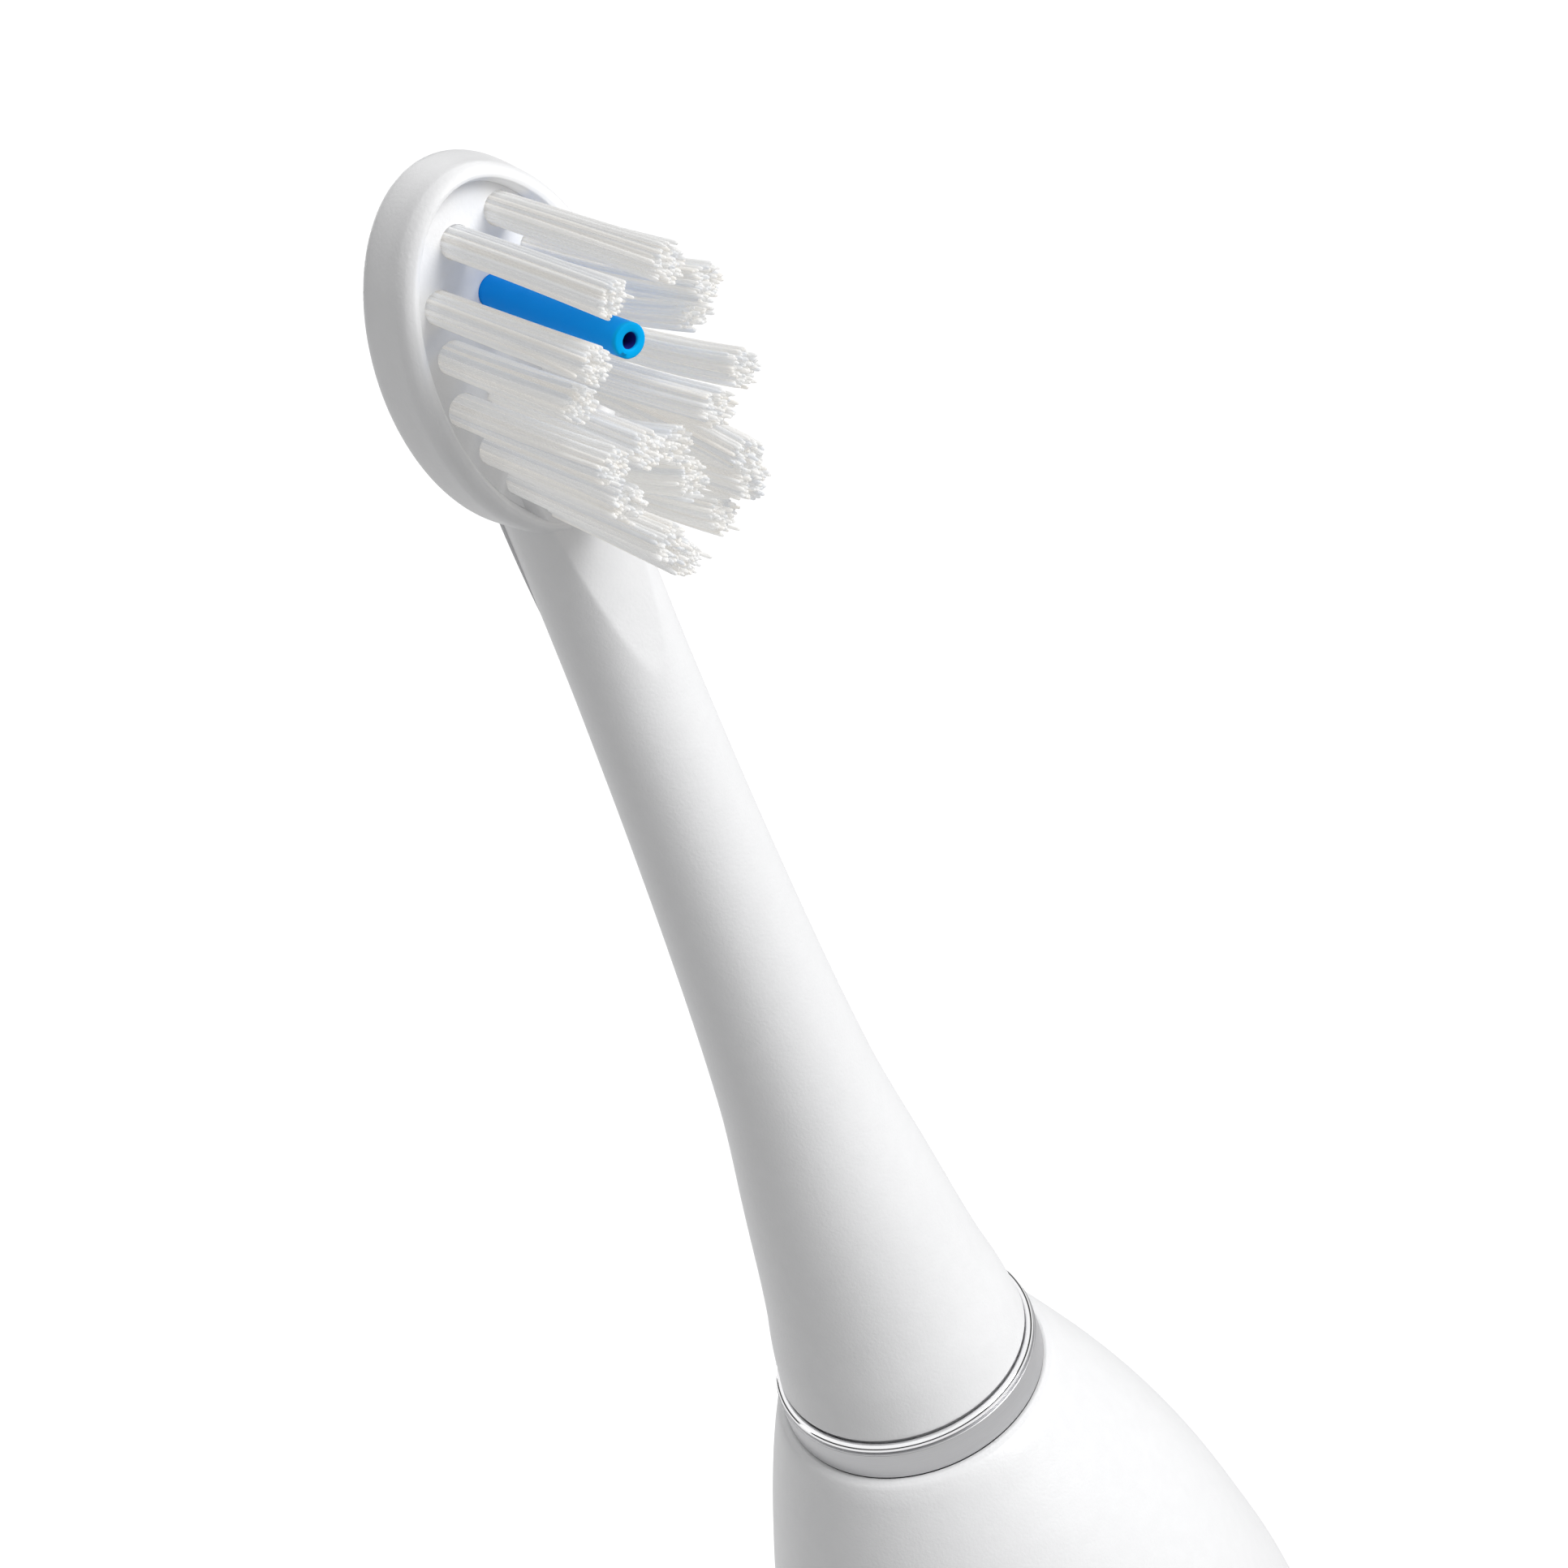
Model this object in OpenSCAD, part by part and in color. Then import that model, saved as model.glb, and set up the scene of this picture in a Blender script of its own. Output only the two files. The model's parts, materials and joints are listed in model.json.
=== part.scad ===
// Water flosser with a sweeping brush head. Millimetres, +Z up the neck, bristles and controls at -Y.
// The origin is on the neck axis, at the plane the rubber foot stands on.

/* [Handle] */
// Height of the joint between the brush head and the handle
collar_z = 158; // [156:0.5:160]
// Wall of the handle shell
shell_wall = 2; // [1.8:0.1:2.2]
// Sides of the faceted handle shell
shell_sides = 48; // [24:8:64]

/* [Brush head] */
// Height of the middle of the tuft plate over the joint
plate_up = 82; // [81:0.5:84]
// Half the width of the head
head_half_w = 7.2; // [7:0.1:7.5]
// Half the height of the head
head_half_h = 11.3; // [11.2:0.1:12]
// Crest of the rim around the tuft plate
rim_y = -2.7; // [-3:0.1:-2.6]
// Back of the head bowl
bowl_back_y = 1.5; // [1.4:0.1:1.7]
// Lean of the flat below the head, in degrees
flat_lean = 5.5; // [4:0.5:6]

/* [Bristles and jet] */
// Diameter of one tuft
tuft_d = 1.9; // [1.6:0.1:1.9]
// Height of the outer tufts over the plate
tuft_long = 13.8; // [11:0.2:14]
// Height of the inner and the lowest tufts over the plate
tuft_short = 12.6; // [10:0.2:13]
// Outer diameter of the jet nozzle
nozzle_d = 1.9; // [1.8:0.1:2.2]
// Diameter of the jet orifice
orifice_d = 0.9; // [0.6:0.05:1]
// Height of the nozzle over the middle of the plate
nozzle_up = 3.9; // [3.8:0.1:4.2]

/* [Drive] */
// Diameter of the drive shaft
shaft_d = 5; // [4.8:0.1:5]
// Length of shaft standing in the brush head
shaft_up = 22; // [20:0.5:22]
// Radial running clearance of the shaft
run_gap = 0.05; // [0.02:0.01:0.1]

/* [Controls] */
// Height of the brush button
brush_z = 63; // [62:0.5:64]
// Height of the floss button
floss_z = 79; // [78:0.5:79]
// Diameter of a button
button_d = 11.6; // [10:0.2:12]
// Travel of a button
button_travel = 1; // [0.5:0.1:1]
// Height of the flow slider when open
slider_z = 104; // [104:0.1:104.2]
// Travel of the flow slider
slider_travel = 6; // [5:0.5:6]

/* [Foot and inlet] */
// Diameter of the hose socket
inlet_d = 6; // [5:0.5:6]
// Depth of the hose socket's plain wall
inlet_depth = 12; // [10:0.5:12]
// Outer radius of the rubber foot
foot_r = 12.4; // [11:0.2:12.6]

/* [Hidden] */
$fn = 64;
eps = 0.05;     // overshoot of a cut past the face it opens

// Handle: height, radius and lean towards the front of each section of the shell.
shell_low = 16.25;
shell_top = collar_z - 3.1;
shell_stations = [
    [shell_low, 15.6, 0], [30, 16.6, 0.1], [48, 18, 0.5], [66, 19.4, 1], [84, 20.4, 1.5],
    [100, 20.9, 1.85], [112, 20.8, 2], [124, 19.6, 2.2], [131, 18.2, 2.3], [137, 16.8, 2.2],
    [143, 15, 1.8], [148, 13.1, 1.1], [152, 11.3, 0.4], [shell_top, 9.9, 0]];
shell_r = [for (s = shell_stations) [s[0], s[1]]];
shell_lean = [for (s = shell_stations) [s[0], s[2]]];
function front_y(z) = -lookup(z, shell_r) - lookup(z, shell_lean);

// Collar
bead_r = 0.32;                       // section of the bead
band_high = collar_z - 2 * bead_r;
band_low = shell_top + 0.15;
collar_in = 7.7;

// Brush head
neck_gap = 0.1;                      // neck over the bead
neck_z = collar_z + neck_gap;
neck_outline = [                     // radius and height over the joint
    [8.8, 0.5], [8.45, 3.5], [7.8, 7], [6.55, 16], [5.25, 26], [4.35, 40], [3.85, 53],
    [3.65, 62], [3.6, 72]];
neck_base_r = 8.66;
neck_bore = [                        // the hollow inside it
    [7.3, neck_gap - eps], [7.1, 4], [5.9, 12], [4.4, 22], [3.1, 40], [2.5, 58], [1.2, 64]];
plate_z = collar_z + plate_up;
face_y = rim_y + 0.95;               // the recessed face between the tufts
plate_thick = 2.6;
plate_w = head_half_w - 1.7;
plate_h = head_half_h - 1.1;
pocket_gap = 0.05;
flat_start = 60.8;                   // where the slanted flat begins, over the joint
flat_y0 = -3.66;                     // how far forward it begins
cover_low = 64.5;                    // where the rear cover begins, over the joint
cover_round = 86.5;                  // where its end starts to round over
cover_top = 92.3;
cover_r = 3.8;
cover_y = bowl_back_y + 0.05;
nozzle_z = plate_z + nozzle_up;
nozzle_r = nozzle_d / 2;
nozzle_tip_y = face_y - 12.5;
root_r = 1.7;
channel_y = 1.9;                     // water channel behind the head
tube_r = 1;
tube_bore_r = 0.6;
tube_low = collar_z + 23;
tube_path = [[0, 0, tube_low], [0, 0, collar_z + 61], [0, channel_y, collar_z + 68],
    [0, channel_y, nozzle_z]];

// Tufts: place across, place over the middle of the plate, and how much longer than its kind.
// The sides are mirrored, the top pair isn't.
top_pair = [[2.1, 7.8, 1.4], [-1, 7.5, 1.4]];
side_row = [[3.3, 4.8, 0.4], [3.7, 1.9, -1.6], [4.3, -1.1, 0], [3.5, -4.1, 0], [2.7, -6.6, 0]];
low_side = [[1.35, -8.75, 0]];
inner_side = [[1.8, -1.4, 1]];
inner_middle = [[0, -3.9, 0], [0, -6.5, 0]];
function mirrored(places) = [for (p = places) each [p, [-p[0], p[1], p[2]]]];
outer_places = concat(top_pair, mirrored(side_row));
short_places = concat(mirrored(low_side), mirrored(inner_side), inner_middle);
hole_deep = 2.2;
anchor_size = [1.8, 1.1, 0.3];

// Drive
shaft_r = shaft_d / 2;
shaft_low = 92.7;
shaft_top = collar_z + shaft_up;
shaft_bore_r = 0.9;
flat_y = shaft_r - 0.6;              // the flat that keys the brush head
flat_low = collar_z + 2;
ring_up = shaft_up - 3;              // O-ring over the joint
run_r = shaft_r + run_gap;
socket_depth = shaft_up + 0.2;
clip_up = 12;
rotor_low = 104;
rotor_high = 123;
yoke_r = 6;
magnet_r = 8;
housing_r = 13.2;
housing_wall = 0.8;
housing_low = 96.2;
housing_high = 131;
bearing_r = 5.5;
bearing_h = 4;
lower_bearing_z = 97;
upper_bearing_z = 127;
stator_low = 103;
stator_high = 124;
stator_r = housing_r - housing_wall - 0.05;
tooth_r = magnet_r + 0.4;
poles = 4;
coupling_low = 84;
coupling_high = 96;
coupling_r = 4.6;

// Water path in the handle
line_r = 1.5;
line_bore_r = 0.8;
valve_y = -16.2;
valve_port_x = 3.2;
valve_low = 91.8;
valve_high = 113;
valve_front = -18.75;
valve_back = -13.6;
valve_half_w = 5.4;
port_z = 97.5;                       // cross drilling that the spool covers when shut
spool_r = 1.35;
spool_low = 99;
spool_high = 108.5;
arm_z = 107;
arm_size = 2.4;
riser_y = -9;
inlet_top = 20;
line_top = valve_low + 1.4;
line_in_y = -coupling_r + 0.6;
line_z = 87.5;
lower_path = [[0, 0, inlet_top - 1], [0, 0, inlet_top + 1.5], [-valve_port_x, riser_y, 31],
    [-valve_port_x, riser_y, 82], [-valve_port_x, valve_y, 89.5], [-valve_port_x, valve_y, line_top]];
upper_path = [[valve_port_x, valve_y, line_top], [valve_port_x, valve_y, 89.5],
    [2.4, -9.5, line_z], [0, -7, line_z], [0, line_in_y, line_z]];

// Bottom
cap_low = 0.8;
cap_high = 16;
cap_wall = 1.8;
floor_top = 2.6;
lip_r = 13.45;
lip_high = 19;
fitting_r = 4.6;
inlet_r = inlet_d / 2;
inlet_top_wall = cap_low + inlet_depth;
ring_thick = 1;
screw_ring_r = 10.35;
screw_count = 3;
screw_r = 1;

// Chassis and electrics
disc_low = 17;
disc_r = 12.2;
rail_x = 8;
rail_thick = 1.6;
mid_disc_z = 76;
top_disc_z = 94;
battery_r = 7;
battery_y = 4.4;
battery_low = 27.5;
battery_len = 46.5;
board_y = -13.5;
board_thick = 1.2;
board_half_w = 8;
board_low = 54;
board_high = 82.8;
dome_thick = 0.5;

// Controls
panel_half_w = 7.8;
panel_low = 52;
panel_high = 112;
panel_thick = 1.6;
panel_gap = 0.1;
part_gap = 0.3;                      // between a moving control and the panel
button_r = button_d / 2;
button_proud = 0.9;
flange_in = 3.1;                     // button flange behind the handle's surface
flange_thick = 0.7;
stem_tip_y = board_y - dome_thick - button_travel - 0.1;
slot_half_w = 2.8;
stem_half = 2.5;
guide_y = -19.75;
guide_thick = 0.7;
lens_z = 89.5;
lens_r = 0.9;
lens_pitch = 3.6;

module along_y(from, to) {
    translate([0, from, 0]) rotate([-90, 0, 0]) linear_extrude(to - from) children();
}

module tube(outer, inner, low, high) {
    translate([0, 0, low]) difference() {
        cylinder(r = outer, h = high - low);
        translate([0, 0, -eps]) cylinder(r = inner, h = high - low + 2 * eps);
    }
}

// A route with each bend rounded over a length on both sides
function bend(a, p, c, d) = let (s = p + unit(a - p) * d, e = p + unit(c - p) * d)
    [for (t = [0:0.25:1]) (1 - t) * (1 - t) * s + 2 * t * (1 - t) * p + t * t * e];
function rounded(path, d) = let (last = len(path) - 1) concat([path[0]],
    [for (i = [1:last - 1]) each bend(path[i - 1], path[i], path[i + 1], d)], [path[last]]);
function unit(v) = v / norm(v);

// A round bar swept along a route that never runs along X, longer at each end by a distance
module sweep(path, r, over = 0) {
    n = 12;
    last = len(path) - 1;
    long = [for (i = [0:last]) path[i]
        + (i == 0 ? unit(path[0] - path[1]) * over : [0, 0, 0])
        + (i == last ? unit(path[last] - path[last - 1]) * over : [0, 0, 0])];
    points = [for (i = [0:last])
        let (t = unit(long[min(i + 1, last)] - long[max(i - 1, 0)]),
            u = unit(cross(t, [1, 0, 0])), v = cross(t, u))
        for (k = [0:n - 1]) long[i] + r * (cos(360 * k / n) * u + sin(360 * k / n) * v)];
    sides = [for (i = [0:last - 1], k = [0:n - 1]) let (j = (k + 1) % n, a = i * n, b = a + n)
        each [[a + k, b + k, a + j], [a + j, b + k, b + j]]];
    ends = [[for (k = [0:n - 1]) k], [for (k = [0:n - 1]) last * n + n - 1 - k]];
    polyhedron(points = points, faces = concat(sides, ends));
}

module pipe(path, r, bore) {
    difference() {
        sweep(path, r);
        sweep(path, bore, 0.1);
    }
}

// An oval in the plane of the plate, as a polygon
function oval(w, h, n = 72) = [for (i = [0:n - 1]) [w * cos(360 * i / n), h * sin(360 * i / n)]];

module oval_prism(w, h, from, to) {
    translate([0, 0, plate_z]) along_y(from, to) polygon(oval(w, h));
}

// The handle's outer form, grown by a distance, between its lowest and highest section
module handle_form(grow, over = 0) {
    n = shell_sides;
    last = len(shell_stations) - 1;
    points = [for (k = [0:last]) let (s = shell_stations[k],
            z = s[0] + (k == 0 ? -over : k == last ? over : 0))
        for (i = [0:n - 1]) let (a = 360 * i / n)
            [(s[1] + grow) * sin(a), -s[2] - (s[1] + grow) * cos(a), z]];
    sides = [for (k = [0:last - 1], i = [0:n - 1]) let (j = (i + 1) % n, a = k * n, b = a + n)
        each [[a + i, b + i, a + j], [a + j, b + i, b + j]]];
    ends = [[for (i = [0:n - 1]) i], [for (i = [0:n - 1]) last * n + n - 1 - i]];
    polyhedron(points = points, faces = concat(sides, ends));
}

module panel_outline(gap) {
    r = panel_half_w + gap;
    hull() for (z = [panel_low + panel_half_w, panel_high - panel_half_w])
        translate([0, -z]) circle(r = r);
}

module panel_prism(gap) {
    along_y(-30, -12) panel_outline(gap);
}

// Rounded rectangle across the front, for the slider
module front_block(half_w, low, high, from, to, corner) {
    along_y(from, to) hull()
        for (x = [-half_w + corner, half_w - corner], z = [low + corner, high - corner])
            translate([x, -z]) circle(r = corner, $fn = 24);
}

// ---- Brush head ----

module neck_form() {
    rotate_extrude() polygon(concat(
        [[0, neck_z], [neck_base_r, neck_z]],
        [for (p = neck_outline) [p[0], collar_z + p[1]]],
        [[3.7, plate_z + 4], [0, plate_z + 4]]));
}

module neck_shell() {
    color("white") difference() {
        union() {
            difference() {
                neck_form();
                translate([-10, cover_y - 0.05, collar_z + cover_low]) cube([20, 10, 40]);
                translate([0, flat_y0, collar_z + flat_start]) rotate([-flat_lean, 0, 0])
                    translate([-10, -10, -5]) cube([20, 10, 60]);
            }
            oval_prism(head_half_w, head_half_h, rim_y, bowl_back_y);
        }
        rotate_extrude() polygon(concat([[0, neck_z - eps]],
            [for (p = neck_bore) [p[0], collar_z + p[1]]], [[0, collar_z + 64]]));
        oval_prism(plate_w + pocket_gap, plate_h + pocket_gap, rim_y - 4,
            face_y + plate_thick + pocket_gap);
        sweep(rounded(tube_path, 2), tube_r + 0.1, 2);
        translate([0, 0, nozzle_z]) along_y(-4, 4) circle(r = root_r + 0.05);
    }
}

module rear_cover() {
    end_h = cover_top - cover_round;
    color("white") difference() {
        intersection() {
            rotate_extrude() polygon(concat(
                [[0, collar_z + cover_low], [cover_r, collar_z + cover_low]],
                [for (a = [0:10:90]) [cover_r * cos(a), collar_z + cover_round + end_h * sin(a)]]));
            translate([-10, cover_y, collar_z + cover_low]) cube([20, 10, 40]);
        }
        translate([0, channel_y, collar_z + cover_low - 1])
            cylinder(r = tube_r + 0.15, h = plate_up + nozzle_up - cover_low + 1);
        translate([0, 0, nozzle_z]) along_y(0, channel_y + 1.2) circle(r = root_r + 0.05);
    }
}

module tuft_holes(places) {
    for (p = places) translate([p[0], 0, plate_z + p[1]])
        along_y(face_y - 1, face_y + hole_deep) circle(d = tuft_d + 0.04, $fn = 32);
}

module tuft_plate() {
    color("white") difference() {
        oval_prism(plate_w, plate_h, face_y, face_y + plate_thick);
        tuft_holes(outer_places);
        tuft_holes(short_places);
        translate([0, 0, nozzle_z]) along_y(face_y - 1, 1) circle(r = nozzle_r + 0.03);
    }
}

module tufts(places, height) {
    for (p = places) difference() {
        translate([p[0], 0, plate_z + p[1]])
            along_y(face_y - height - p[2], face_y + hole_deep) circle(d = tuft_d, $fn = 32);
        anchor(p);
    }
}

module outer_tufts() {
    color("whitesmoke") tufts(outer_places, tuft_long);
}

module inner_tufts() {
    color("whitesmoke") tufts(short_places, tuft_short);
}

module anchor(p) {
    translate([p[0], face_y + hole_deep - anchor_size[1], plate_z + p[1]])
        translate([-anchor_size[0] / 2, 0, -anchor_size[2] / 2]) cube(anchor_size);
}

module tuft_anchors() {
    color("silver") for (p = concat(outer_places, short_places)) anchor(p);
}

module jet_nozzle() {
    root_y = face_y + plate_thick + 0.15;
    color("dodgerblue") difference() {
        translate([0, 0, nozzle_z]) union() {
            along_y(nozzle_tip_y, root_y + eps) circle(r = nozzle_r);
            along_y(root_y, channel_y + 1.1) circle(r = root_r);
        }
        translate([0, 0, nozzle_z]) along_y(nozzle_tip_y - 1, channel_y) circle(d = orifice_d);
        translate([0, channel_y, nozzle_z - 3]) cylinder(r = tube_r + 0.01, h = 3);
    }
}

module water_tube() {
    color("lightgray") pipe(rounded(tube_path, 2), tube_r, tube_bore_r);
}

// The hole that fits round the keyed shaft
module shaft_hole(low, high) {
    translate([0, 0, low]) intersection() {
        cylinder(r = run_r, h = high - low);
        translate([-5, -5, 0]) cube([10, 5 + flat_y + run_gap, high - low]);
    }
}

module drive_socket() {
    color("lightgray") difference() {
        union() {
            translate([0, 0, collar_z + 0.5]) cylinder(r = 7.1, h = 2);
            translate([0, 0, collar_z + 2]) cylinder(r = 5.4, h = 10);
            translate([0, 0, collar_z + 11]) cylinder(r = 4.2, h = 12.8);
        }
        shaft_hole(collar_z + 0.3, collar_z + socket_depth);
        translate([0, 0, collar_z - 1]) cylinder(r = run_r, h = 3);
        translate([0, 0, collar_z + 20]) cylinder(r = tube_bore_r, h = 5);
        translate([0, 0, tube_low]) cylinder(r = tube_r + 0.01, h = 2);
        translate([0, 0, collar_z + clip_up - 0.05]) tube(4.3, run_r + 0.15, 0, 1.1);
    }
}

module socket_clip() {
    color("silver") difference() {
        translate([0, 0, collar_z + clip_up]) tube(4.15, run_r + 0.25, 0, 1);
        translate([-1, -6, collar_z + clip_up - 1]) cube([2, 6, 3]);
    }
}

// ---- Drive ----

module drive_shaft() {
    color("silver") difference() {
        translate([0, 0, shaft_low]) cylinder(r = shaft_r, h = shaft_top - shaft_low);
        translate([0, 0, shaft_low - 1]) cylinder(r = shaft_bore_r, h = shaft_top - shaft_low + 2);
        translate([-5, flat_y, flat_low]) cube([10, 5, shaft_up]);
        translate([0, 0, collar_z + ring_up]) tube(shaft_r + 1, 1.45, 0, 1.1);
    }
}

module shaft_o_ring() {
    ring_r = 0.2;
    color("black") translate([0, 0, collar_z + ring_up + 0.55])
        rotate_extrude() translate([1.5 + ring_r, 0]) circle(r = ring_r);
}

module rotor_yoke() {
    color("slategray") tube(yoke_r, shaft_r, rotor_low, rotor_high);
}

module rotor_magnets() {
    gap = 1.6;
    color("dimgray") difference() {
        tube(magnet_r, yoke_r, rotor_low + 1, rotor_high - 1);
        for (a = [0:180 / poles:179]) rotate(a + 180 / (2 * poles))
            translate([-10, -gap / 2, rotor_low]) cube([20, gap, rotor_high]);
    }
}

// ---- Handle ----

module handle_shell() {
    color("white") difference() {
        handle_form(0);
        handle_form(-shell_wall, 0.2);
        panel_prism(panel_gap);
    }
}

module collar_bead() {
    color("gainsboro") rotate_extrude() union() {
        translate([8.9, collar_z - bead_r]) circle(r = bead_r, $fn = 32);
        translate([collar_in, band_high]) square([1.2, bead_r]);
    }
}

module collar_band() {
    color("darkgray") tube(9.33, collar_in, band_low, band_high);
}

module seam_gasket() {
    color("black") tube(9.25, collar_in, shell_top, band_low);
}

module nose_cap() {
    color("lightgray") difference() {
        rotate_extrude() polygon([[3.2, 146], [7.4, 146], [7.4, housing_high], [8.6, housing_high],
            [8.6, shell_top - 3], [7.6, shell_top - 2.5], [7.6, collar_z - 0.4], [3.2, collar_z - 0.4]]);
        translate([0, 0, 149]) cylinder(r = 6, h = 20);
    }
}

module shaft_boot() {
    color("dimgray") rotate_extrude() polygon([[4, 149], [5.95, 149], [5.95, 156.8],
        [4.6, 157.4], [run_r + 0.02, 157.4], [run_r + 0.02, 156.6], [4, 155.8]]);
}

module motor_housing() {
    boss_r = bearing_r + 1.2;
    inside_r = housing_r - housing_wall;
    color("gray") difference() {
        translate([0, 0, housing_low]) cylinder(r = housing_r, h = housing_high - housing_low);
        difference() {
            translate([0, 0, housing_low + 0.8])
                cylinder(r = inside_r, h = housing_high - housing_low - 2.3);
            cylinder(r = boss_r, h = lower_bearing_z + bearing_h);
            translate([0, 0, upper_bearing_z]) cylinder(r = boss_r, h = 10);
        }
        translate([0, 0, lower_bearing_z]) cylinder(r = bearing_r, h = bearing_h + eps);
        translate([0, 0, upper_bearing_z - eps]) cylinder(r = bearing_r, h = 10);
        translate([0, 0, 90]) cylinder(r = shaft_r + 0.5, h = 20);
    }
}

module bearing(z) {
    color("silver") difference() {
        tube(bearing_r, run_r, z, z + bearing_h);
        for (face = [z - 1, z + bearing_h - 0.3]) tube(4.6, 3.6, face, face + 1.3);
    }
}

module upper_bearing() {
    bearing(upper_bearing_z);
}

module lower_bearing() {
    bearing(lower_bearing_z);
}

module each_pole() {
    for (i = [0:poles - 1]) rotate(360 * i / poles) children();
}

module tooth(grow) {
    translate([0, -2 - grow, stator_low - grow])
        cube([stator_r - 1, 4 + 2 * grow, stator_high - stator_low + 2 * grow]);
}

module stator_core() {
    color("slategray") difference() {
        union() {
            tube(stator_r, stator_r - 1.75, stator_low, stator_high);
            each_pole() tooth(0);
        }
        translate([0, 0, stator_low - 1]) cylinder(r = tooth_r, h = 30);
    }
}

module stator_coils() {
    coil_w = 7;
    end = 1.5;
    color("peru") each_pole() difference() {
        translate([tooth_r + 0.5, -coil_w / 2, stator_low - end])
            cube([1.1, coil_w, stator_high - stator_low + 2 * end]);
        tooth(0.05);
    }
}

module swivel_coupling() {
    color("lightgray") difference() {
        translate([0, 0, coupling_low]) cylinder(r = coupling_r, h = coupling_high - coupling_low);
        translate([0, 0, shaft_low - 0.1]) cylinder(r = run_r, h = 10);
        translate([0, 0, line_z]) cylinder(r = 1.6, h = 10);
        translate([0, 0, line_z]) along_y(-10, 0) circle(r = line_bore_r);
        translate([0, 0, line_z]) along_y(-10, line_in_y) circle(r = line_r + 0.01);
    }
}

module upper_water_line() {
    color("lightblue") pipe(rounded(upper_path, 1), line_r, line_bore_r);
}

module lower_water_line() {
    color("lightblue") pipe(rounded(lower_path, 1), line_r, line_bore_r);
}

module valve_body() {
    color("gray") difference() {
        translate([-valve_half_w, valve_front, valve_low])
            cube([2 * valve_half_w, valve_back - valve_front, valve_high - valve_low]);
        translate([0, valve_y, valve_low + 1]) cylinder(r = spool_r + run_gap, h = 19);
        for (x = [-valve_port_x, valve_port_x]) translate([x, valve_y, valve_low - 1]) {
            cylinder(r = line_bore_r, h = port_z - valve_low + 1);
            cylinder(r = line_r + 0.01, h = 1 + line_top - valve_low);
        }
        translate([-valve_port_x, valve_y, port_z]) rotate([0, 90, 0])
            cylinder(r = line_bore_r, h = 2 * valve_port_x);
        translate([-1.5, valve_front - 1, arm_z - slider_travel - 1.5])
            cube([3, 1 + valve_y - valve_front, slider_travel + 3]);
    }
}

module inlet_fitting() {
    color("lightgray") difference() {
        union() {
            translate([0, 0, cap_low]) cylinder(r = fitting_r, h = inlet_top - cap_low);
            translate([0, 0, floor_top]) cylinder(r = 6.3, h = 1);
        }
        translate([0, 0, cap_low - 1]) cylinder(r = inlet_r, h = inlet_depth + ring_thick + 2.2);
        translate([0, 0, inlet_top_wall]) cylinder(r = inlet_r + ring_thick, h = ring_thick);
        cylinder(r = line_bore_r, h = 40);
        translate([0, 0, inlet_top - 1]) cylinder(r = line_r + 0.01, h = 2);
    }
}

module inlet_o_ring() {
    color("black") translate([0, 0, inlet_top_wall + ring_thick / 2]) rotate_extrude()
        translate([inlet_r + ring_thick / 2, 0]) circle(r = ring_thick / 2 - 0.01);
}

module screw_places() {
    for (i = [0:screw_count - 1]) rotate(90 + 360 * i / screw_count)
        translate([screw_ring_r, 0, 0]) children();
}

module chassis_disc(z, r, front) {
    intersection() {
        translate([0, 0, z]) cylinder(r = r, h = 2);
        translate([-20, front, z]) cube([40, 40, 2]);
    }
}

module chassis() {
    color("lightgray") difference() {
        union() {
            chassis_disc(disc_low, disc_r, -20);
            chassis_disc(mid_disc_z, 14.5, -6);
            chassis_disc(top_disc_z, 12.5, -5.5);
            for (side = [-1, 1]) translate([side * (rail_x + rail_thick / 2), 0, 0]) {
                translate([-rail_thick / 2, -2, disc_low]) cube([rail_thick, 9, 79]);
                translate([-rail_thick / 2, -12.3, board_low]) cube([rail_thick, 11, 22]);
            }
            screw_places() translate([0, 0, 5]) cylinder(r = 1.9, h = disc_low - 4);
        }
        translate([0, 0, disc_low - 1]) cylinder(r = fitting_r + 0.1, h = 4);
        translate([0, 0, top_disc_z - 1]) cylinder(r = coupling_r + 0.1, h = 4);
        screw_places() translate([0, 0, 4]) cylinder(r = screw_r + 0.02, h = 13);
    }
}

module battery() {
    color("steelblue") translate([0, battery_y, battery_low]) {
        cylinder(r = battery_r, h = battery_len);
        cylinder(r = 2.6, h = battery_len + 1);
    }
}

module circuit_board() {
    back_y = board_y + board_thick;
    color("seagreen") {
        translate([-board_half_w, board_y, board_low])
            cube([2 * board_half_w, board_thick, board_high - board_low]);
        translate([0.5, back_y - eps, 68]) cube([6, 1, 6]);
        translate([0.5, back_y - eps, 59]) cube([3, 1.6, 5]);
        translate([5, back_y - eps, 60]) cube([1.6, 1.2, 3]);
        translate([-7, back_y - eps, 72]) cube([1.6, 1.2, 3]);
    }
}

module switch_domes() {
    color("silver") for (z = [brush_z, floss_z]) translate([0, 0, z])
        along_y(board_y - dome_thick, board_y) circle(r = 2.5);
}

module control_panel() {
    color("gainsboro") difference() {
        intersection() {
            difference() {
                handle_form(-0.05);
                handle_form(-panel_thick, 1);
            }
            panel_prism(0);
        }
        for (z = [brush_z, floss_z]) translate([0, 0, z])
            along_y(-30, -12) circle(r = button_r + part_gap);
        front_block(slot_half_w, slider_z - slider_travel - stem_half - part_gap,
            slider_z + stem_half + part_gap, -30, -12, 0.8);
        for (i = [-1:1]) translate([i * lens_pitch, 0, lens_z])
            along_y(-30, -12) circle(r = lens_r + 0.02);
    }
}

module indicator_lenses() {
    y = front_y(lens_z);
    color("paleturquoise") for (i = [-1:1]) translate([i * lens_pitch, 0, lens_z])
        along_y(y + 0.1 + 0.3 * abs(i), y + 2.2) circle(r = lens_r);
}

module charging_coil() {
    color("peru") tube(8.3, fitting_r + 0.2, 4, 10);
}

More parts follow.
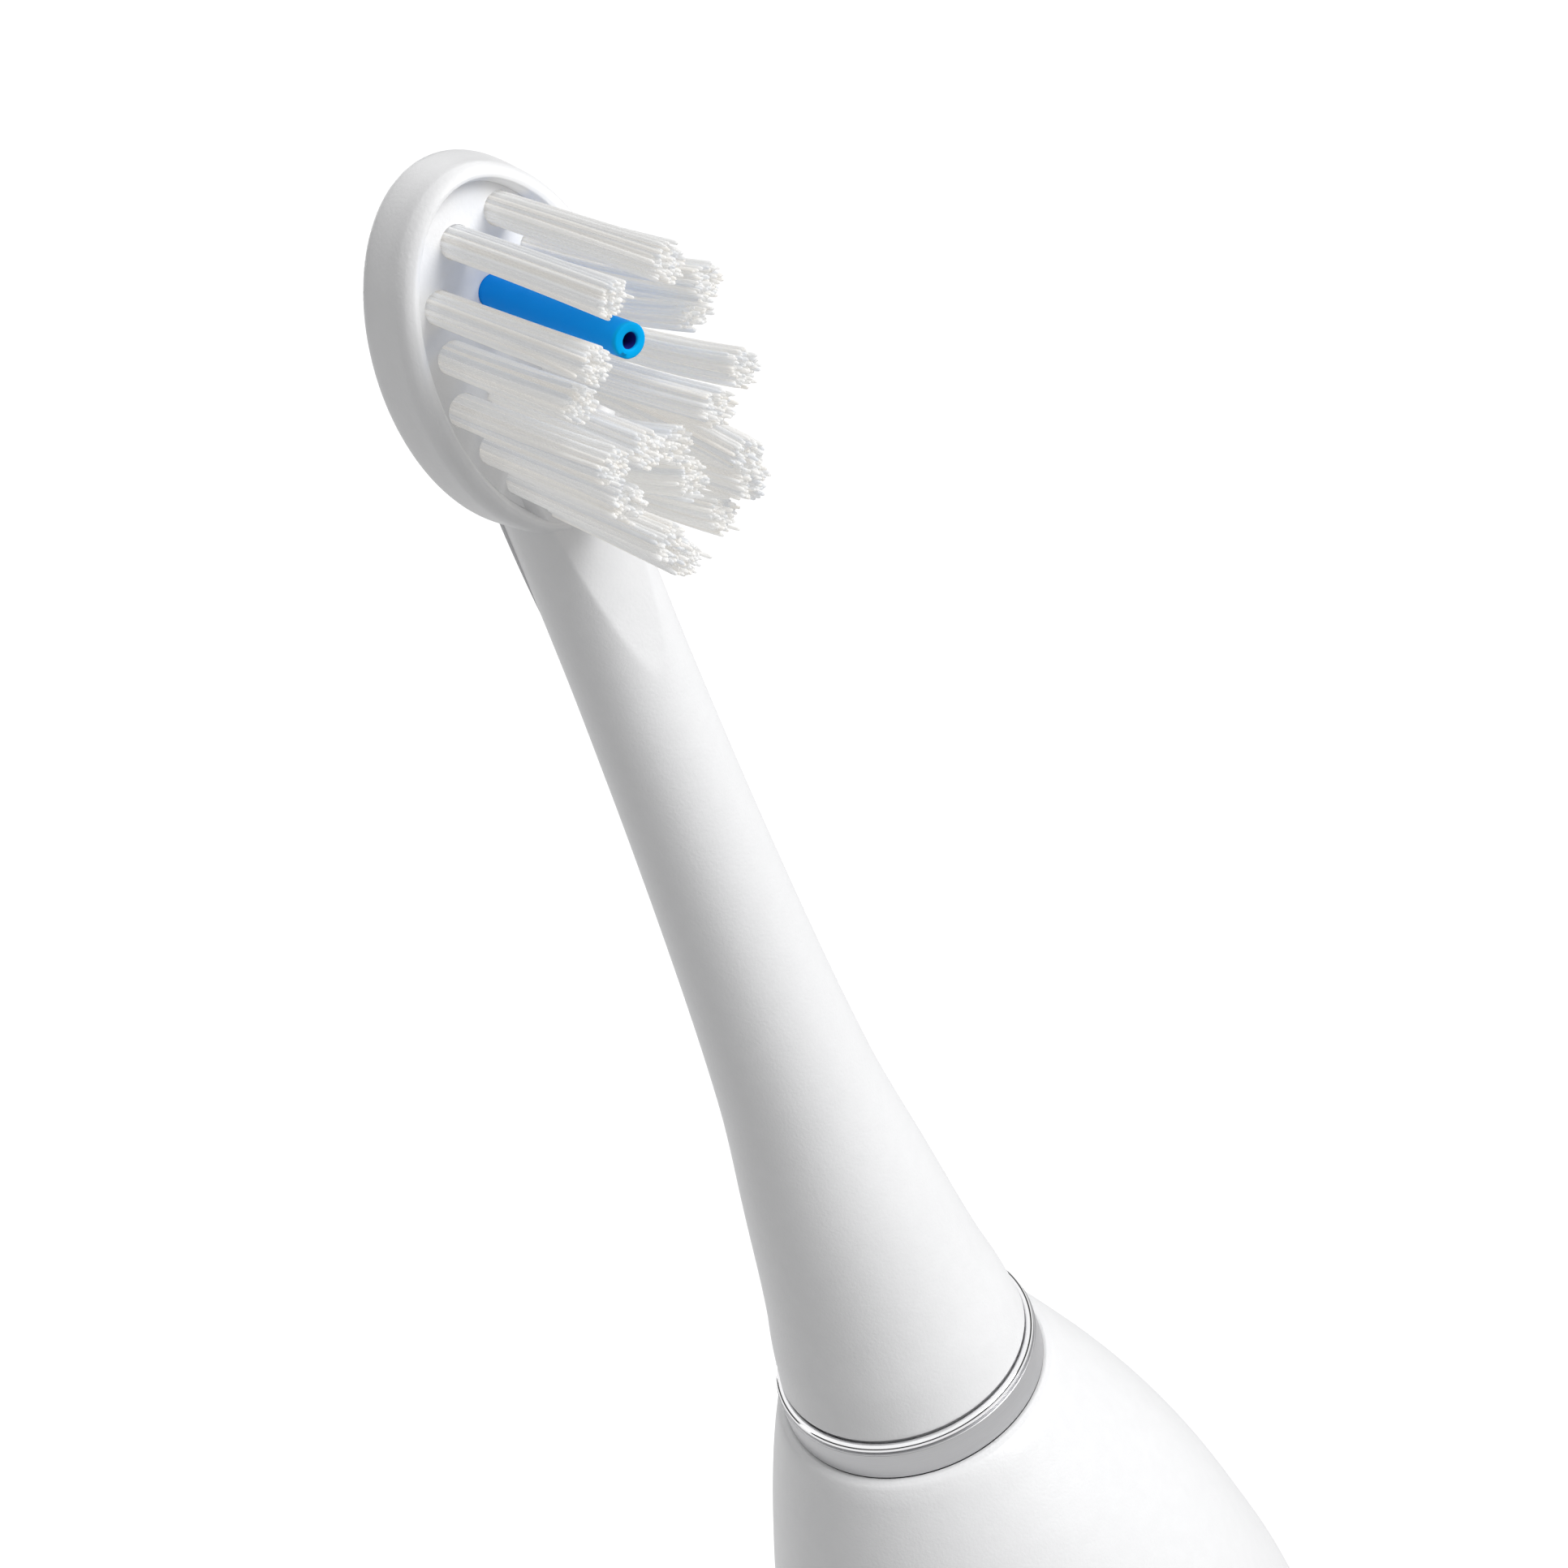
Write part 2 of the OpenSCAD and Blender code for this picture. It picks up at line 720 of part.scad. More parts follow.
module bottom_cap() {
    color("white") difference() {
        union() {
            rotate_extrude() polygon([[0, cap_low], [12.9, cap_low], [14.1, 1.7], [14.8, 3.6],
                [15.2, 8], [15.6, cap_high], [15.6 - cap_wall, cap_high], [15.2 - cap_wall, 8],
                [14.6 - cap_wall, 3.6], [14 - cap_wall, floor_top], [0, floor_top]]);
            tube(lip_r, lip_r - 1.1, cap_high - 4, lip_high);
            tube(lip_r + 0.5, lip_r - 1.1, cap_high - 4, cap_high);
            screw_places() translate([0, 0, floor_top - eps]) cylinder(r = 1.9, h = 2.2);
        }
        translate([0, 0, cap_low - 1]) cylinder(r = fitting_r + 0.05, h = 4);
        translate([0, 0, cap_low - eps]) tube(foot_r + 0.05, foot_r - 4.05, 0, 0.55);
        screw_places() {
            cylinder(r = screw_r + 0.1, h = 10);
            cylinder(r = 1.85, h = 2.5);
        }
    }
}

module cap_seal() {
    color("black") tube(15.3, lip_r + 0.05, cap_high, shell_low);
}

module cap_screws() {
    color("silver") screw_places() difference() {
        union() {
            translate([0, 0, 1.45]) cylinder(r = 1.7, h = 1);
            translate([0, 0, 2]) cylinder(r = screw_r, h = 12);
        }
        cylinder(r = 0.7, h = 2, $fn = 6);
    }
}

module foot_ring() {
    color("dimgray") tube(foot_r, foot_r - 4, 0, cap_low + 0.5);
}

// ---- Controls ----

module button(z) {
    y = front_y(z);
    crown_r = 40;
    color("whitesmoke") translate([0, 0, z]) {
        intersection() {
            along_y(y - button_proud, y + flange_in + eps) circle(r = button_r);
            translate([0, y - button_proud + crown_r, 0]) sphere(r = crown_r, $fn = 96);
        }
        along_y(y + flange_in, y + flange_in + flange_thick) circle(r = button_r + 0.9);
        along_y(y + flange_in, stem_tip_y) circle(r = 1.5);
    }
}

module brush_button() {
    button(brush_z);
}

module floss_button() {
    button(floss_z);
}

module slider_arm(gap) {
    half = arm_size / 2 + gap;
    translate([-half, guide_y + guide_thick - eps, arm_z - half])
        cube([2 * half, valve_y - 0.9 - guide_y - guide_thick + gap, 2 * half]);
}

module flow_slider() {
    y = front_y(slider_z);
    color("dodgerblue") difference() {
        union() {
            front_block(3.5, slider_z - 4.5, slider_z + 4.5, y - 1.7, y - 0.3, 1.6);
            front_block(stem_half, slider_z - stem_half, slider_z + stem_half, y - 0.4,
                guide_y + eps, 0.6);
            front_block(3.6, slider_z - 6, slider_z + 6, guide_y, guide_y + guide_thick, 0.6);
            slider_arm(0);
        }
        for (i = [-2:2]) translate([-5, y - 2, slider_z + 1.5 * i - 0.3]) cube([10, 0.6, 0.6]);
    }
}

module valve_spool() {
    color("silver") difference() {
        translate([0, valve_y, spool_low]) cylinder(r = spool_r, h = spool_high - spool_low);
        slider_arm(0.01);
    }
}

neck_shell();
rear_cover();
tuft_plate();
outer_tufts();
inner_tufts();
tuft_anchors();
jet_nozzle();
water_tube();
drive_socket();
socket_clip();
drive_shaft();
shaft_o_ring();
rotor_yoke();
rotor_magnets();
handle_shell();
collar_bead();
collar_band();
seam_gasket();
nose_cap();
shaft_boot();
motor_housing();
upper_bearing();
lower_bearing();
stator_core();
stator_coils();
swivel_coupling();
upper_water_line();
lower_water_line();
valve_body();
inlet_fitting();
inlet_o_ring();
chassis();
battery();
circuit_board();
switch_domes();
control_panel();
indicator_lenses();
charging_coil();
bottom_cap();
cap_seal();
cap_screws();
foot_ring();
brush_button();
floss_button();
flow_slider();
valve_spool();
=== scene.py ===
"""Looks of the water flosser's hand piece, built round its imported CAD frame.

Sizes are in millimetres until a mesh is made. The stage's own sizes are in metres.
"""

import json
import math

import bpy
import numpy as np
from mathutils import Matrix, Vector
from mathutils.geometry import delaunay_2d_cdt


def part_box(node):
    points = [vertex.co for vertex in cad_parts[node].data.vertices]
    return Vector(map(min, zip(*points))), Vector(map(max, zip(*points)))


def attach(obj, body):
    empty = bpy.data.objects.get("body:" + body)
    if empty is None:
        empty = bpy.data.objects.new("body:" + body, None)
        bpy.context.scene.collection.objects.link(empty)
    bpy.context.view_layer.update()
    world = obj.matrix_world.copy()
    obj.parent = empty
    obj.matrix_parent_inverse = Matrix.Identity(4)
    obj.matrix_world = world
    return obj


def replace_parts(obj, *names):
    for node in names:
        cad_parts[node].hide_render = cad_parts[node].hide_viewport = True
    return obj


MM = 0.001
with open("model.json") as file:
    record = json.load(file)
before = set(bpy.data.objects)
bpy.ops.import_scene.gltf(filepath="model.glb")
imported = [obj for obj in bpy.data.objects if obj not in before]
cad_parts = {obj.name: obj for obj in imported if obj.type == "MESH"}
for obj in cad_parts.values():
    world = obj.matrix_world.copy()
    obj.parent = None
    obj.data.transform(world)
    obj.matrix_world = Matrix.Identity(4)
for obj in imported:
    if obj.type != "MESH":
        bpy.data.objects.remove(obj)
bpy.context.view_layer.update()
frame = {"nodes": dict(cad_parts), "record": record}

# ---- Driving dimensions, in millimetres in the row frame; -Y is the front ----

# Brush head
COLLAR_Z = 158.0          # joint between brush head and handle
PLATE_Z = 240.0           # middle of the head's oval
FACE_Y = -1.75            # face that the tufts stand on
BOWL_W, BOWL_H = 7.25, 11.35
BOWL_BACK_Y = 1.5
FLAT_Z, FLAT_Y, FLAT_LEAN = 218.8, -3.66, math.tan(math.radians(5.5))   # the slanted flat
FLAT_SOFT = 0.02          # how softly the slanted flat meets the round neck
NECK = [                  # height over the joint, and radius
    (0.5, 8.8), (3.5, 8.4), (7, 7.76), (16, 6.55), (26, 5.25), (40, 4.35), (53, 3.85),
    (62, 3.65), (72, 3.6), (86, 3.6)]
NECK_BORE = [(0.15, 7.3), (4, 7.1), (12, 5.9), (22, 4.4), (40, 3.1), (58, 2.5), (64, 1.2)]
NECK_FOOT = [(7.35, 0.1), (8.7, 0.1), (8.8, 0.32), (8.8, 0.5)]   # radius, height over the joint
NECK_TOP = [(3.4, 85.6), (1.2, 85.8)]
BOWL = [                  # inward in width, inward in height, how far back
    (6.6, 11.0, BOWL_BACK_Y), (3.0, 3.0, BOWL_BACK_Y), (1.0, 1.0, BOWL_BACK_Y - 0.01),
    (0.5, 0.5, 1.4), (0.18, 0.17, 1.2), (0.03, 0.03, 0.9), (0.0, 0.0, 0.6),
    (0.08, 0.03, -0.2), (0.22, 0.08, -1.1), (0.34, 0.12, -1.85), (0.42, 0.18, -2.08),
    (0.58, 0.30, -2.38), (0.82, 0.46, -2.6), (1.10, 0.64, -2.72), (1.32, 0.78, -2.70),
    (1.48, 0.88, -2.55), (1.60, 0.98, -2.3), (1.68, 1.08, -2.05), (1.73, 1.13, -1.86),
    (1.75, 1.15, -1.75), (1.75, 1.15, 0.5)]
COVER_LOW, COVER_ROUND, COVER_TOP = 222.5, 244.5, 250.3
COVER_R, COVER_FRONT_Y = 3.8, 1.45
NOZZLE_R, NOZZLE_UP = 0.95, 3.9
FILAMENTS, FILAMENT_R = 84, (0.105, 0.128)
TUFT_ROOT_Y = FACE_Y + 0.8
TUFT_LEAN = [             # root across and up from the plate's middle, lean of the tips, trim
    (3.3, 4.8, 1.1, 0.3, 0), (3.7, 1.9, 0.6, 1.1, 0), (4.3, -1.1, 0.7, 0.6, 0),
    (1.8, -1.4, 1.05, -0.3, 0), (3.5, -4.1, 0.0, -1.0, 0), (2.7, -6.6, 0.5, 0.1, 0),
    (1.35, -8.75, 0.2, 0.8, 0), (-1, 7.5, -0.2, 0.1, 0.6), (-3.3, 4.8, 0.1, 0.0, 0),
    (-3.7, 1.9, -0.1, 0.4, 0), (-4.3, -1.1, 0.2, 0.2, 0), (-3.5, -4.1, 0.0, 0.1, 1.2),
    (-1.35, -8.75, -0.2, 0.0, 0), (0, -3.9, 0.4, 1.15, 0), (0, -6.5, 0.6, 1.55, 0)]

# Edges softened on the CAD parts that stay in sight
EDGE_SOFT, PLATE_SOFT = 0.08, 0.06

# Collar and handle
SHELL_LOW, SHELL_TOP = 16.25, 154.9
SHELL_WALL, WALL_TOP = 2.0, 150
SHELL_LIP = [(9.86, -0.15), (9.5, 0), (9.0, 0), (8.2, -0.2)]   # radius, height over the top
HANDLE = [                # height, radius and lean towards the front
    (16.25, 15.6, 0), (30, 16.6, 0.1), (48, 18, 0.5), (66, 19.4, 1), (84, 20.4, 1.5),
    (100, 20.9, 1.85), (112, 20.8, 2), (124, 19.6, 2.2), (131, 18.2, 2.3), (137, 16.8, 2.2),
    (143, 15, 1.8), (148, 13.1, 1.1), (152, 11.3, 0.4), (154.9, 9.9, 0)]
COLLAR_IN = 7.7
GASKET_R = 9.27
BAND_R, BAND_LOW, BAND_HIGH = 9.33, 155.05, 157.35
BEAD_AT, BEAD_R, BEAD_TOP = (8.9, 157.68), 0.33, 157.75
CAP_SIDE = [(0.8, 12.9), (1.7, 14.1), (3.6, 14.8), (8, 15.2), (16, 15.6)]   # height, radius
CAP_FLOOR = [             # radius and height: hose opening, foot groove and bottom edge
    (4.65, 2.6), (4.65, 0.8), (8.35, 0.8), (8.35, 1.3), (12.45, 1.3), (12.45, 0.8), (12.75, 0.8)]
CAP_INSIDE = [(15.45, 16.0), (13.9, 16.0), (13.4, 8), (12.8, 3.6), (12.2, 2.6)]
CAP_TOP = 16.0
FOOT_IN, FOOT_OUT, FOOT_HIGH = 8.4, 12.4, 1.29
SEAL_IN, SEAL_OUT = 13.6, 15.3

# Controls
PANEL_W, PANEL_LOW, PANEL_HIGH, PANEL_THICK = 7.8, 52.0, 112.0, 1.5
PANEL_PROUD = 0.05
BUTTON_R, BUTTON_GAP, BUTTON_PROUD, BUTTON_CROWN = 5.8, 0.3, 0.9, 40.0
BUTTON_FLANGE, BUTTON_STEM_R = (0.9, 3.1, 3.8), 1.5   # out from the rim, front and back depth
BRUSH_Z, FLOSS_Z, SLIDER_Z = 63.0, 79.0, 104.0
SLIDER_HALF, SLIDER_PROUD = (3.5, 4.5), 1.7
SLIDER_STEM, SLIDER_STEM_Y, SLIDER_GROOVE = 2.5, -19.1, 1.5
SLOT = (2.8, 95.2, 106.8, 0.8)   # half width, low, high and corner of the slider's slot
LENS_Z, LENS_R, LENS_PITCH, LENS_BACK = 89.5, 0.9, 3.6, 1.8
LENS_PLACES = (-1, 0, 1)

# Camera: where it stands, where it looks and its lens
CAMERA_AT = Vector((-69.5, -144.01, 319.14)) * MM
CAMERA_FORWARD = Vector((0.382, 0.7209, -0.5782))
CAMERA_UP = Vector((0.5654, 0.3126, 0.7633))
LENS_MM = 74.19

# Light: softboxes as name, direction, distance and size in metres, and power
KEY_LEVEL = 0.82                 # the level share of the key light's direction
SOFTBOXES = [
    ("key", (0.5607 * KEY_LEVEL, -0.828 * KEY_LEVEL, 0.57), 0.9, 0.5, 0.5, 7.2),
    ("edge", (-0.75, 0.65, 0.25), 0.8, 0.15, 0.7, 0.5),
    ("back", (0.1, 0.95, 0.05), 1.0, 0.6, 0.5, 1.9)]
SKY_LIGHT = 0.375                # the world as a light
SKY_BAND = [(0.0, 0.9), (0.40, 0.9), (0.45, 0.05), (0.65, 0.05), (0.73, 1.0)]   # in reflections
FLOOR_HALF, FLOOR_DROP = 4.0, 0.0003   # in metres
FLOOR_GLOW = 0.88
LIGHTS_AIM = Vector((0, 0, 0.19))


# ---- Curves and meshes ----

def smooth_curve(xs, ys):
    """A smooth curve through points that never overshoots them."""
    xs, ys = np.asarray(xs, float), np.asarray(ys, float)
    h, d = np.diff(xs), np.diff(ys) / np.diff(xs)
    m = np.zeros(len(xs))
    for i in range(1, len(xs) - 1):
        if d[i - 1] * d[i] > 0:
            w1, w2 = 2 * h[i] + h[i - 1], h[i] + 2 * h[i - 1]
            m[i] = (w1 + w2) / (w1 / d[i - 1] + w2 / d[i])
    m[0], m[-1] = d[0], d[-1]

    def at(x):
        x = np.clip(np.asarray(x, float), xs[0], xs[-1])
        i = np.clip(np.searchsorted(xs, x, side="right") - 1, 0, len(h) - 1)
        t = (x - xs[i]) / h[i]
        return ((1 + 2 * t) * (1 - t) ** 2 * ys[i] + t * (1 - t) ** 2 * h[i] * m[i]
                + t * t * (3 - 2 * t) * ys[i + 1] + t * t * (t - 1) * h[i] * m[i + 1])
    return at


def curve_of(stations, i=1):
    """A smooth curve of a table's column over its first one."""
    return smooth_curve([s[0] for s in stations], [s[i] for s in stations])


handle_r = curve_of(HANDLE)
handle_lean = curve_of(HANDLE, 2)
neck_r = curve_of(NECK)


def front_y(x, z, depth=0.0):
    """Where the handle's front is at a place across it, less a depth under the surface."""
    r = handle_r(z) - depth
    return -handle_lean(z) - np.sqrt(np.maximum(r * r - np.asarray(x) ** 2, 0.01))


def make(name, verts, faces, material, body, sharp=38.0):
    """A mesh piece in millimetres, shaded smooth but for its sharp edges, riding on a body."""
    mesh = bpy.data.meshes.new(name)
    mesh.from_pydata([tuple(v) for v in np.asarray(verts, float) * MM], [], faces)
    mesh.validate()
    mesh.polygons.foreach_set("use_smooth", [True] * len(mesh.polygons))
    mesh.set_sharp_from_angle(angle=math.radians(sharp))
    mesh.materials.append(material)
    piece = bpy.data.objects.new(name, mesh)
    bpy.context.scene.collection.objects.link(piece)
    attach(piece, body)
    return piece


def loft(rings, ends=True, closed=False):
    """Vertices and faces through rings of equal length."""
    n = len(rings[0])
    verts = np.vstack(rings)
    faces = []
    count = len(rings)
    for k in range(count if closed else count - 1):
        a, b = k * n, (k + 1) % count * n
        faces += [(a + i, a + (i + 1) % n, b + (i + 1) % n, b + i) for i in range(n)]
    if ends and not closed:
        faces += [tuple(range(n - 1, -1, -1)), tuple(range((count - 1) * n, count * n))]
    return verts, faces


def joined(parts):
    """One mesh from several pairs of vertices and faces."""
    verts, faces, start = [], [], 0
    for more, sheet in parts:
        verts.append(more)
        faces += [tuple(start + v for v in f) for f in sheet]
        start += len(more)
    return np.vstack(verts), faces


def lathe(profile, sides=192, lean=None):
    """Rings round the Z axis through (radius, height) points; lean moves each towards the front."""
    a = np.linspace(0, 2 * math.pi, sides, endpoint=False)
    rings = []
    for r, z in profile:
        y = -(lean(z) if lean else 0.0)
        rings.append(np.column_stack([r * np.sin(a), y - r * np.cos(a), np.full(sides, z)]))
    return rings


def rounded(points, radius, steps=4):
    """A profile with each inner corner rounded."""
    points = [np.array(p, float) for p in points]
    out = [points[0]]
    for a, p, c in zip(points, points[1:], points[2:]):
        d = min(radius, np.linalg.norm(a - p) / 2, np.linalg.norm(c - p) / 2)
        s = p + (a - p) / np.linalg.norm(a - p) * d
        e = p + (c - p) / np.linalg.norm(c - p) * d
        for t in np.linspace(0, 1, steps + 1):
            out.append((1 - t) ** 2 * s + 2 * t * (1 - t) * p + t * t * e)
    return out + [points[-1]]


def ring_piece(name, size, radius, slot, node, sides):
    """A turned ring on the handle: inner and outer radius, low and high, corners rounded."""
    material, body = MATERIAL[slot], "handle"
    inner, outer, low, high = size
    corners = [(inner, low), (outer, low), (outer, high), (inner, high)]
    section = rounded(corners + corners[:2], radius)[1:-1]
    verts, faces = loft(lathe(section, sides), closed=True)
    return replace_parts(make(name, verts, faces, material, body), node)


# ---- Flat shapes: their outlines, and distances that are positive outside them ----

def stadium(grow):
    """Distance from the panel's outline, grown by a margin."""
    def distance(x, z):
        zc = np.clip(z, PANEL_LOW + PANEL_W, PANEL_HIGH - PANEL_W)
        return np.hypot(x, z - zc) - PANEL_W - grow
    return distance


def stadium_loop(grow, n=48):
    """The panel's outline, grown by a margin."""
    r, high_z, low_z = PANEL_W + grow, PANEL_HIGH - PANEL_W, PANEL_LOW + PANEL_W
    up = [(r * math.cos(t), high_z + r * math.sin(t)) for t in np.linspace(0, math.pi, n)]
    low = [(r * math.cos(t), low_z + r * math.sin(t)) for t in np.linspace(math.pi, 2 * math.pi, n)]
    side = np.linspace(high_z, low_z, 24)[1:-1]
    return up + [(-r, z) for z in side] + low + [(r, z) for z in side[::-1]]


def circle_loop(x, z, r, n=64):
    """A circle's outline."""
    return [(x + r * math.cos(t), z + r * math.sin(t))
            for t in np.linspace(0, 2 * math.pi, n, endpoint=False)]


def slot_distance(x, z):
    """Distance from the slider's slot."""
    half, low, high, corner = SLOT
    dx = np.abs(x) - half + corner
    dz = np.abs(z - (low + high) / 2) - (high - low) / 2 + corner
    outer = np.hypot(np.maximum(dx, 0), np.maximum(dz, 0))
    return outer + np.minimum(np.maximum(dx, dz), 0) - corner


def slot_loop(grow, n=8):
    """The slot's outline, grown by a margin."""
    half, low, high, corner = SLOT
    r = corner + grow
    points = []
    for cx, cz, start in ((half - corner, high - corner, 0), (-half + corner, high - corner, 90),
                          (-half + corner, low + corner, 180), (half - corner, low + corner, 270)):
        for t in np.linspace(0, 90, n):
            a = math.radians(start + t)
            points.append((cx + r * math.cos(a), cz + r * math.sin(a)))
    return points


def edge_drop(distance, width):
    """How far a rounded edge has dropped at a distance inside it."""
    left = np.clip(width - distance, 0, width)
    return width - np.sqrt(width * width - left * left)


def patch(loops, grid, inside):
    """Triangles over flat places, keeping every loop's edges and only the inside."""
    points = [tuple(p) for loop in loops for p in loop]
    edges, start = [], 0
    for loop in loops:
        n = len(loop)
        edges += [(start + i, start + (i + 1) % n) for i in range(n)]
        start += n
    points += [tuple(p) for p in grid]
    found = delaunay_2d_cdt([Vector(p) for p in points], edges, [], 0, 1e-6)
    flat = np.array([tuple(v) for v in found[0]])
    faces = [tuple(f) for f in found[2]]
    centre = np.array([flat[list(f)].mean(0) for f in faces])
    keep = inside(centre[:, 0], centre[:, 1]) > 0
    return flat, [f for f, k in zip(faces, keep) if k]


def wall(loop, front, back):
    """A wall along a loop: front and back give the Y of its two edges."""
    n = len(loop)
    x, z = np.array(loop)[:, 0], np.array(loop)[:, 1]
    verts = np.vstack([np.column_stack([x, edge(x, z), z]) for edge in (front, back)])
    return verts, [(i, (i + 1) % n, n + (i + 1) % n, n + i) for i in range(n)]


# ---- Materials ----

def tint(colour, share):
    """A colour made lighter by a share, with its alpha."""
    return tuple(min(1.0, c * (1 + share)) for c in colour) + (1.0,)


def colour_ramp(nodes, stops):
    node = nodes.new("ShaderNodeValToRGB")
    elements = node.color_ramp.elements
    while len(elements) < len(stops):
        elements.new(0.5)
    for element, (place, colour) in zip(elements, stops):
        element.position, element.color = place, colour
    return node


class Surface:
    """A node material round one Principled shader, with its patterns in object coordinates."""

    def __init__(self, name, rough, metallic=0.0, **sockets):
        self.material = bpy.data.materials.new(name)
        self.material.use_nodes = True
        self.nodes = self.material.node_tree.nodes
        self.links = self.material.node_tree.links
        self.shader = self.nodes["Principled BSDF"]
        self.shader.inputs["Roughness"].default_value = rough
        self.shader.inputs["Metallic"].default_value = metallic
        for socket, value in sockets.items():
            self.shader.inputs[socket.replace("_", " ")].default_value = value
        self.at = self.nodes.new("ShaderNodeTexCoord").outputs["Object"]

    def stretched(self, scale):
        node = self.nodes.new("ShaderNodeMapping")
        node.inputs["Scale"].default_value = scale
        self.links.new(self.at, node.inputs["Vector"])
        return node.outputs["Vector"]

    def noise(self, scale, detail=3.0, stretch=None):
        node = self.nodes.new("ShaderNodeTexNoise")
        node.inputs["Scale"].default_value = scale
        node.inputs["Detail"].default_value = detail
        self.links.new(self.stretched(stretch) if stretch else self.at, node.inputs["Vector"])
        return node.outputs["Fac"]

    def ramp(self, factor, stops):
        node = colour_ramp(self.nodes, stops)
        self.links.new(factor, node.inputs["Fac"])
        return node.outputs["Color"]

    def colour(self, output):
        self.links.new(output, self.shader.inputs["Base Color"])
        return self

    def mottled(self, colour, share, scale, stretch=None):
        stops = [(0.3, tint(colour, -share)), (0.7, tint(colour, share))]
        return self.colour(self.ramp(self.noise(scale, 4.0, stretch), stops))

    def worn(self, low, high, scale, stretch=None):
        node = self.nodes.new("ShaderNodeMapRange")
        node.inputs["To Min"].default_value = low
        node.inputs["To Max"].default_value = high
        self.links.new(self.noise(scale, 3.0, stretch), node.inputs["Value"])
        self.links.new(node.outputs["Result"], self.shader.inputs["Roughness"])
        return self

    def bumps(self, factor, strength, distance):
        node = self.nodes.new("ShaderNodeBump")
        node.inputs["Strength"].default_value = strength
        node.inputs["Distance"].default_value = distance
        self.links.new(factor, node.inputs["Height"])
        self.links.new(node.outputs["Normal"], self.shader.inputs["Normal"])
        return self

    def grain(self, scale, strength, distance=2e-5, stretch=None):
        return self.bumps(self.noise(scale, 2.0, stretch), strength, distance)

    def layered(self, scale, stops, strength, distance):
        """Fine layers along Z, in colour and in relief."""
        wave = self.nodes.new("ShaderNodeTexWave")
        wave.bands_direction = "Z"
        wave.inputs["Scale"].default_value = scale
        self.links.new(self.at, wave.inputs["Vector"])
        self.colour(self.ramp(wave.outputs["Fac"], stops))
        return self.bumps(wave.outputs["Fac"], strength, distance)


def white_plastic(name, colour, rough):
    s = Surface(name, rough, Specular_IOR_Level=0.45)
    s.mottled(colour, 0.012, 900).worn(rough - 0.03, rough + 0.05, 1500).grain(4600, 0.6, 3e-5)
    return s.material


def tuft_nylon_painted_glow():
    """Milky nylon: each filament has its own tone, lets some light through, and glows a little with
    painted light that stands in for light scattered among the bristles.
    """
    # The emission is painted light: a soft glow over every filament, in place of light bounced
    # through the tufts.
    s = Surface("nylon", 0.4, Specular_IOR_Level=0.35, Emission_Color=(0.97, 0.96, 0.94, 1),
                Emission_Strength=0.235)
    shade = s.nodes.new("ShaderNodeNewGeometry").outputs["Random Per Island"]
    tone = s.ramp(shade, [(0.0, (0.76, 0.775, 0.80, 1)), (0.25, (0.84, 0.845, 0.85, 1)),
                          (0.75, (0.87, 0.865, 0.855, 1)), (1.0, (0.84, 0.825, 0.80, 1))])
    s.colour(tone)
    s.grain(3000, 0.1, 1e-5, (1, 0.05, 1))
    through = s.nodes.new("ShaderNodeBsdfTranslucent")
    s.links.new(tone, through.inputs["Color"])
    mix = s.nodes.new("ShaderNodeMixShader")
    mix.inputs["Fac"].default_value = 0.45
    s.links.new(s.shader.outputs["BSDF"], mix.inputs[1])
    s.links.new(through.outputs["BSDF"], mix.inputs[2])
    s.links.new(mix.outputs["Shader"], s.nodes["Material Output"].inputs["Surface"])
    return s.material


def jet_blue():
    """The nozzle's blue, lighter towards its end; the lightest ring at the very end is painted
    light, standing in for light shining through the soft tip.
    """
    s = Surface("jet_blue", 0.5, Specular_IOR_Level=0.06)
    along = s.nodes.new("ShaderNodeSeparateXYZ")
    s.links.new(s.at, along.inputs["Vector"])
    place = s.nodes.new("ShaderNodeMapRange")
    place.inputs["From Min"].default_value = -1.0 * MM
    place.inputs["From Max"].default_value = -14.3 * MM
    s.links.new(along.outputs["Y"], place.inputs["Value"])
    # The last colour stop paints light coming through the soft end as a lighter ring.
    s.colour(s.ramp(place.outputs["Result"], [
        (0.0, (0.0, 0.29, 0.96, 1)), (0.7, (0.0, 0.33, 1.0, 1)), (0.965, (0.0, 0.36, 1.0, 1)),
        (0.985, (0.0, 0.42, 0.90, 1))]))
    s.grain(7000, 0.2, 1e-5)
    return s.material


# Dark indigo for the inside of the nozzle: painted shade in the hole, darker than the nozzle's own
# blue.
def bore_painted_shade():
    s = Surface("bore_painted_shade", 0.4)
    s.mottled((0.02, 0.03, 0.30), 0.2, 4000).grain(5000, 0.1)
    return s.material


def metal(name, colour, rough, stretch=(1, 1, 30), share=0.05, strength=0.1):
    s = Surface(name, rough, 1.0)
    s.mottled(colour, share, 500, stretch).worn(rough * 0.85, rough * 1.15, 700, stretch)
    s.grain(1500, strength, 6e-6, stretch)
    return s.material


def rubber(name, colour):
    s = Surface(name, 0.65, Specular_IOR_Level=0.3)
    s.mottled(colour, 0.12, 700).grain(3500, 0.3, 2e-5)
    return s.material


def moulded(name, colour, rough=0.5):
    s = Surface(name, rough)
    s.mottled(colour, 0.03, 400).worn(rough - 0.06, rough + 0.06, 600).grain(2500, 0.2, 2e-5)
    return s.material


def plain_blue():
    s = Surface("jet_blue_plain", 0.38)
    s.mottled((0.0, 0.15, 0.56), 0.06, 900).grain(4500, 0.2, 1.5e-5)
    return s.material


def winding():
    s = Surface("copper", 0.3, 1.0)
    s.layered(800, [(0.0, (0.32, 0.12, 0.05, 1)), (0.5, (0.72, 0.33, 0.15, 1)),
                    (1.0, (0.85, 0.45, 0.22, 1))], 0.6, 1e-4)
    return s.material


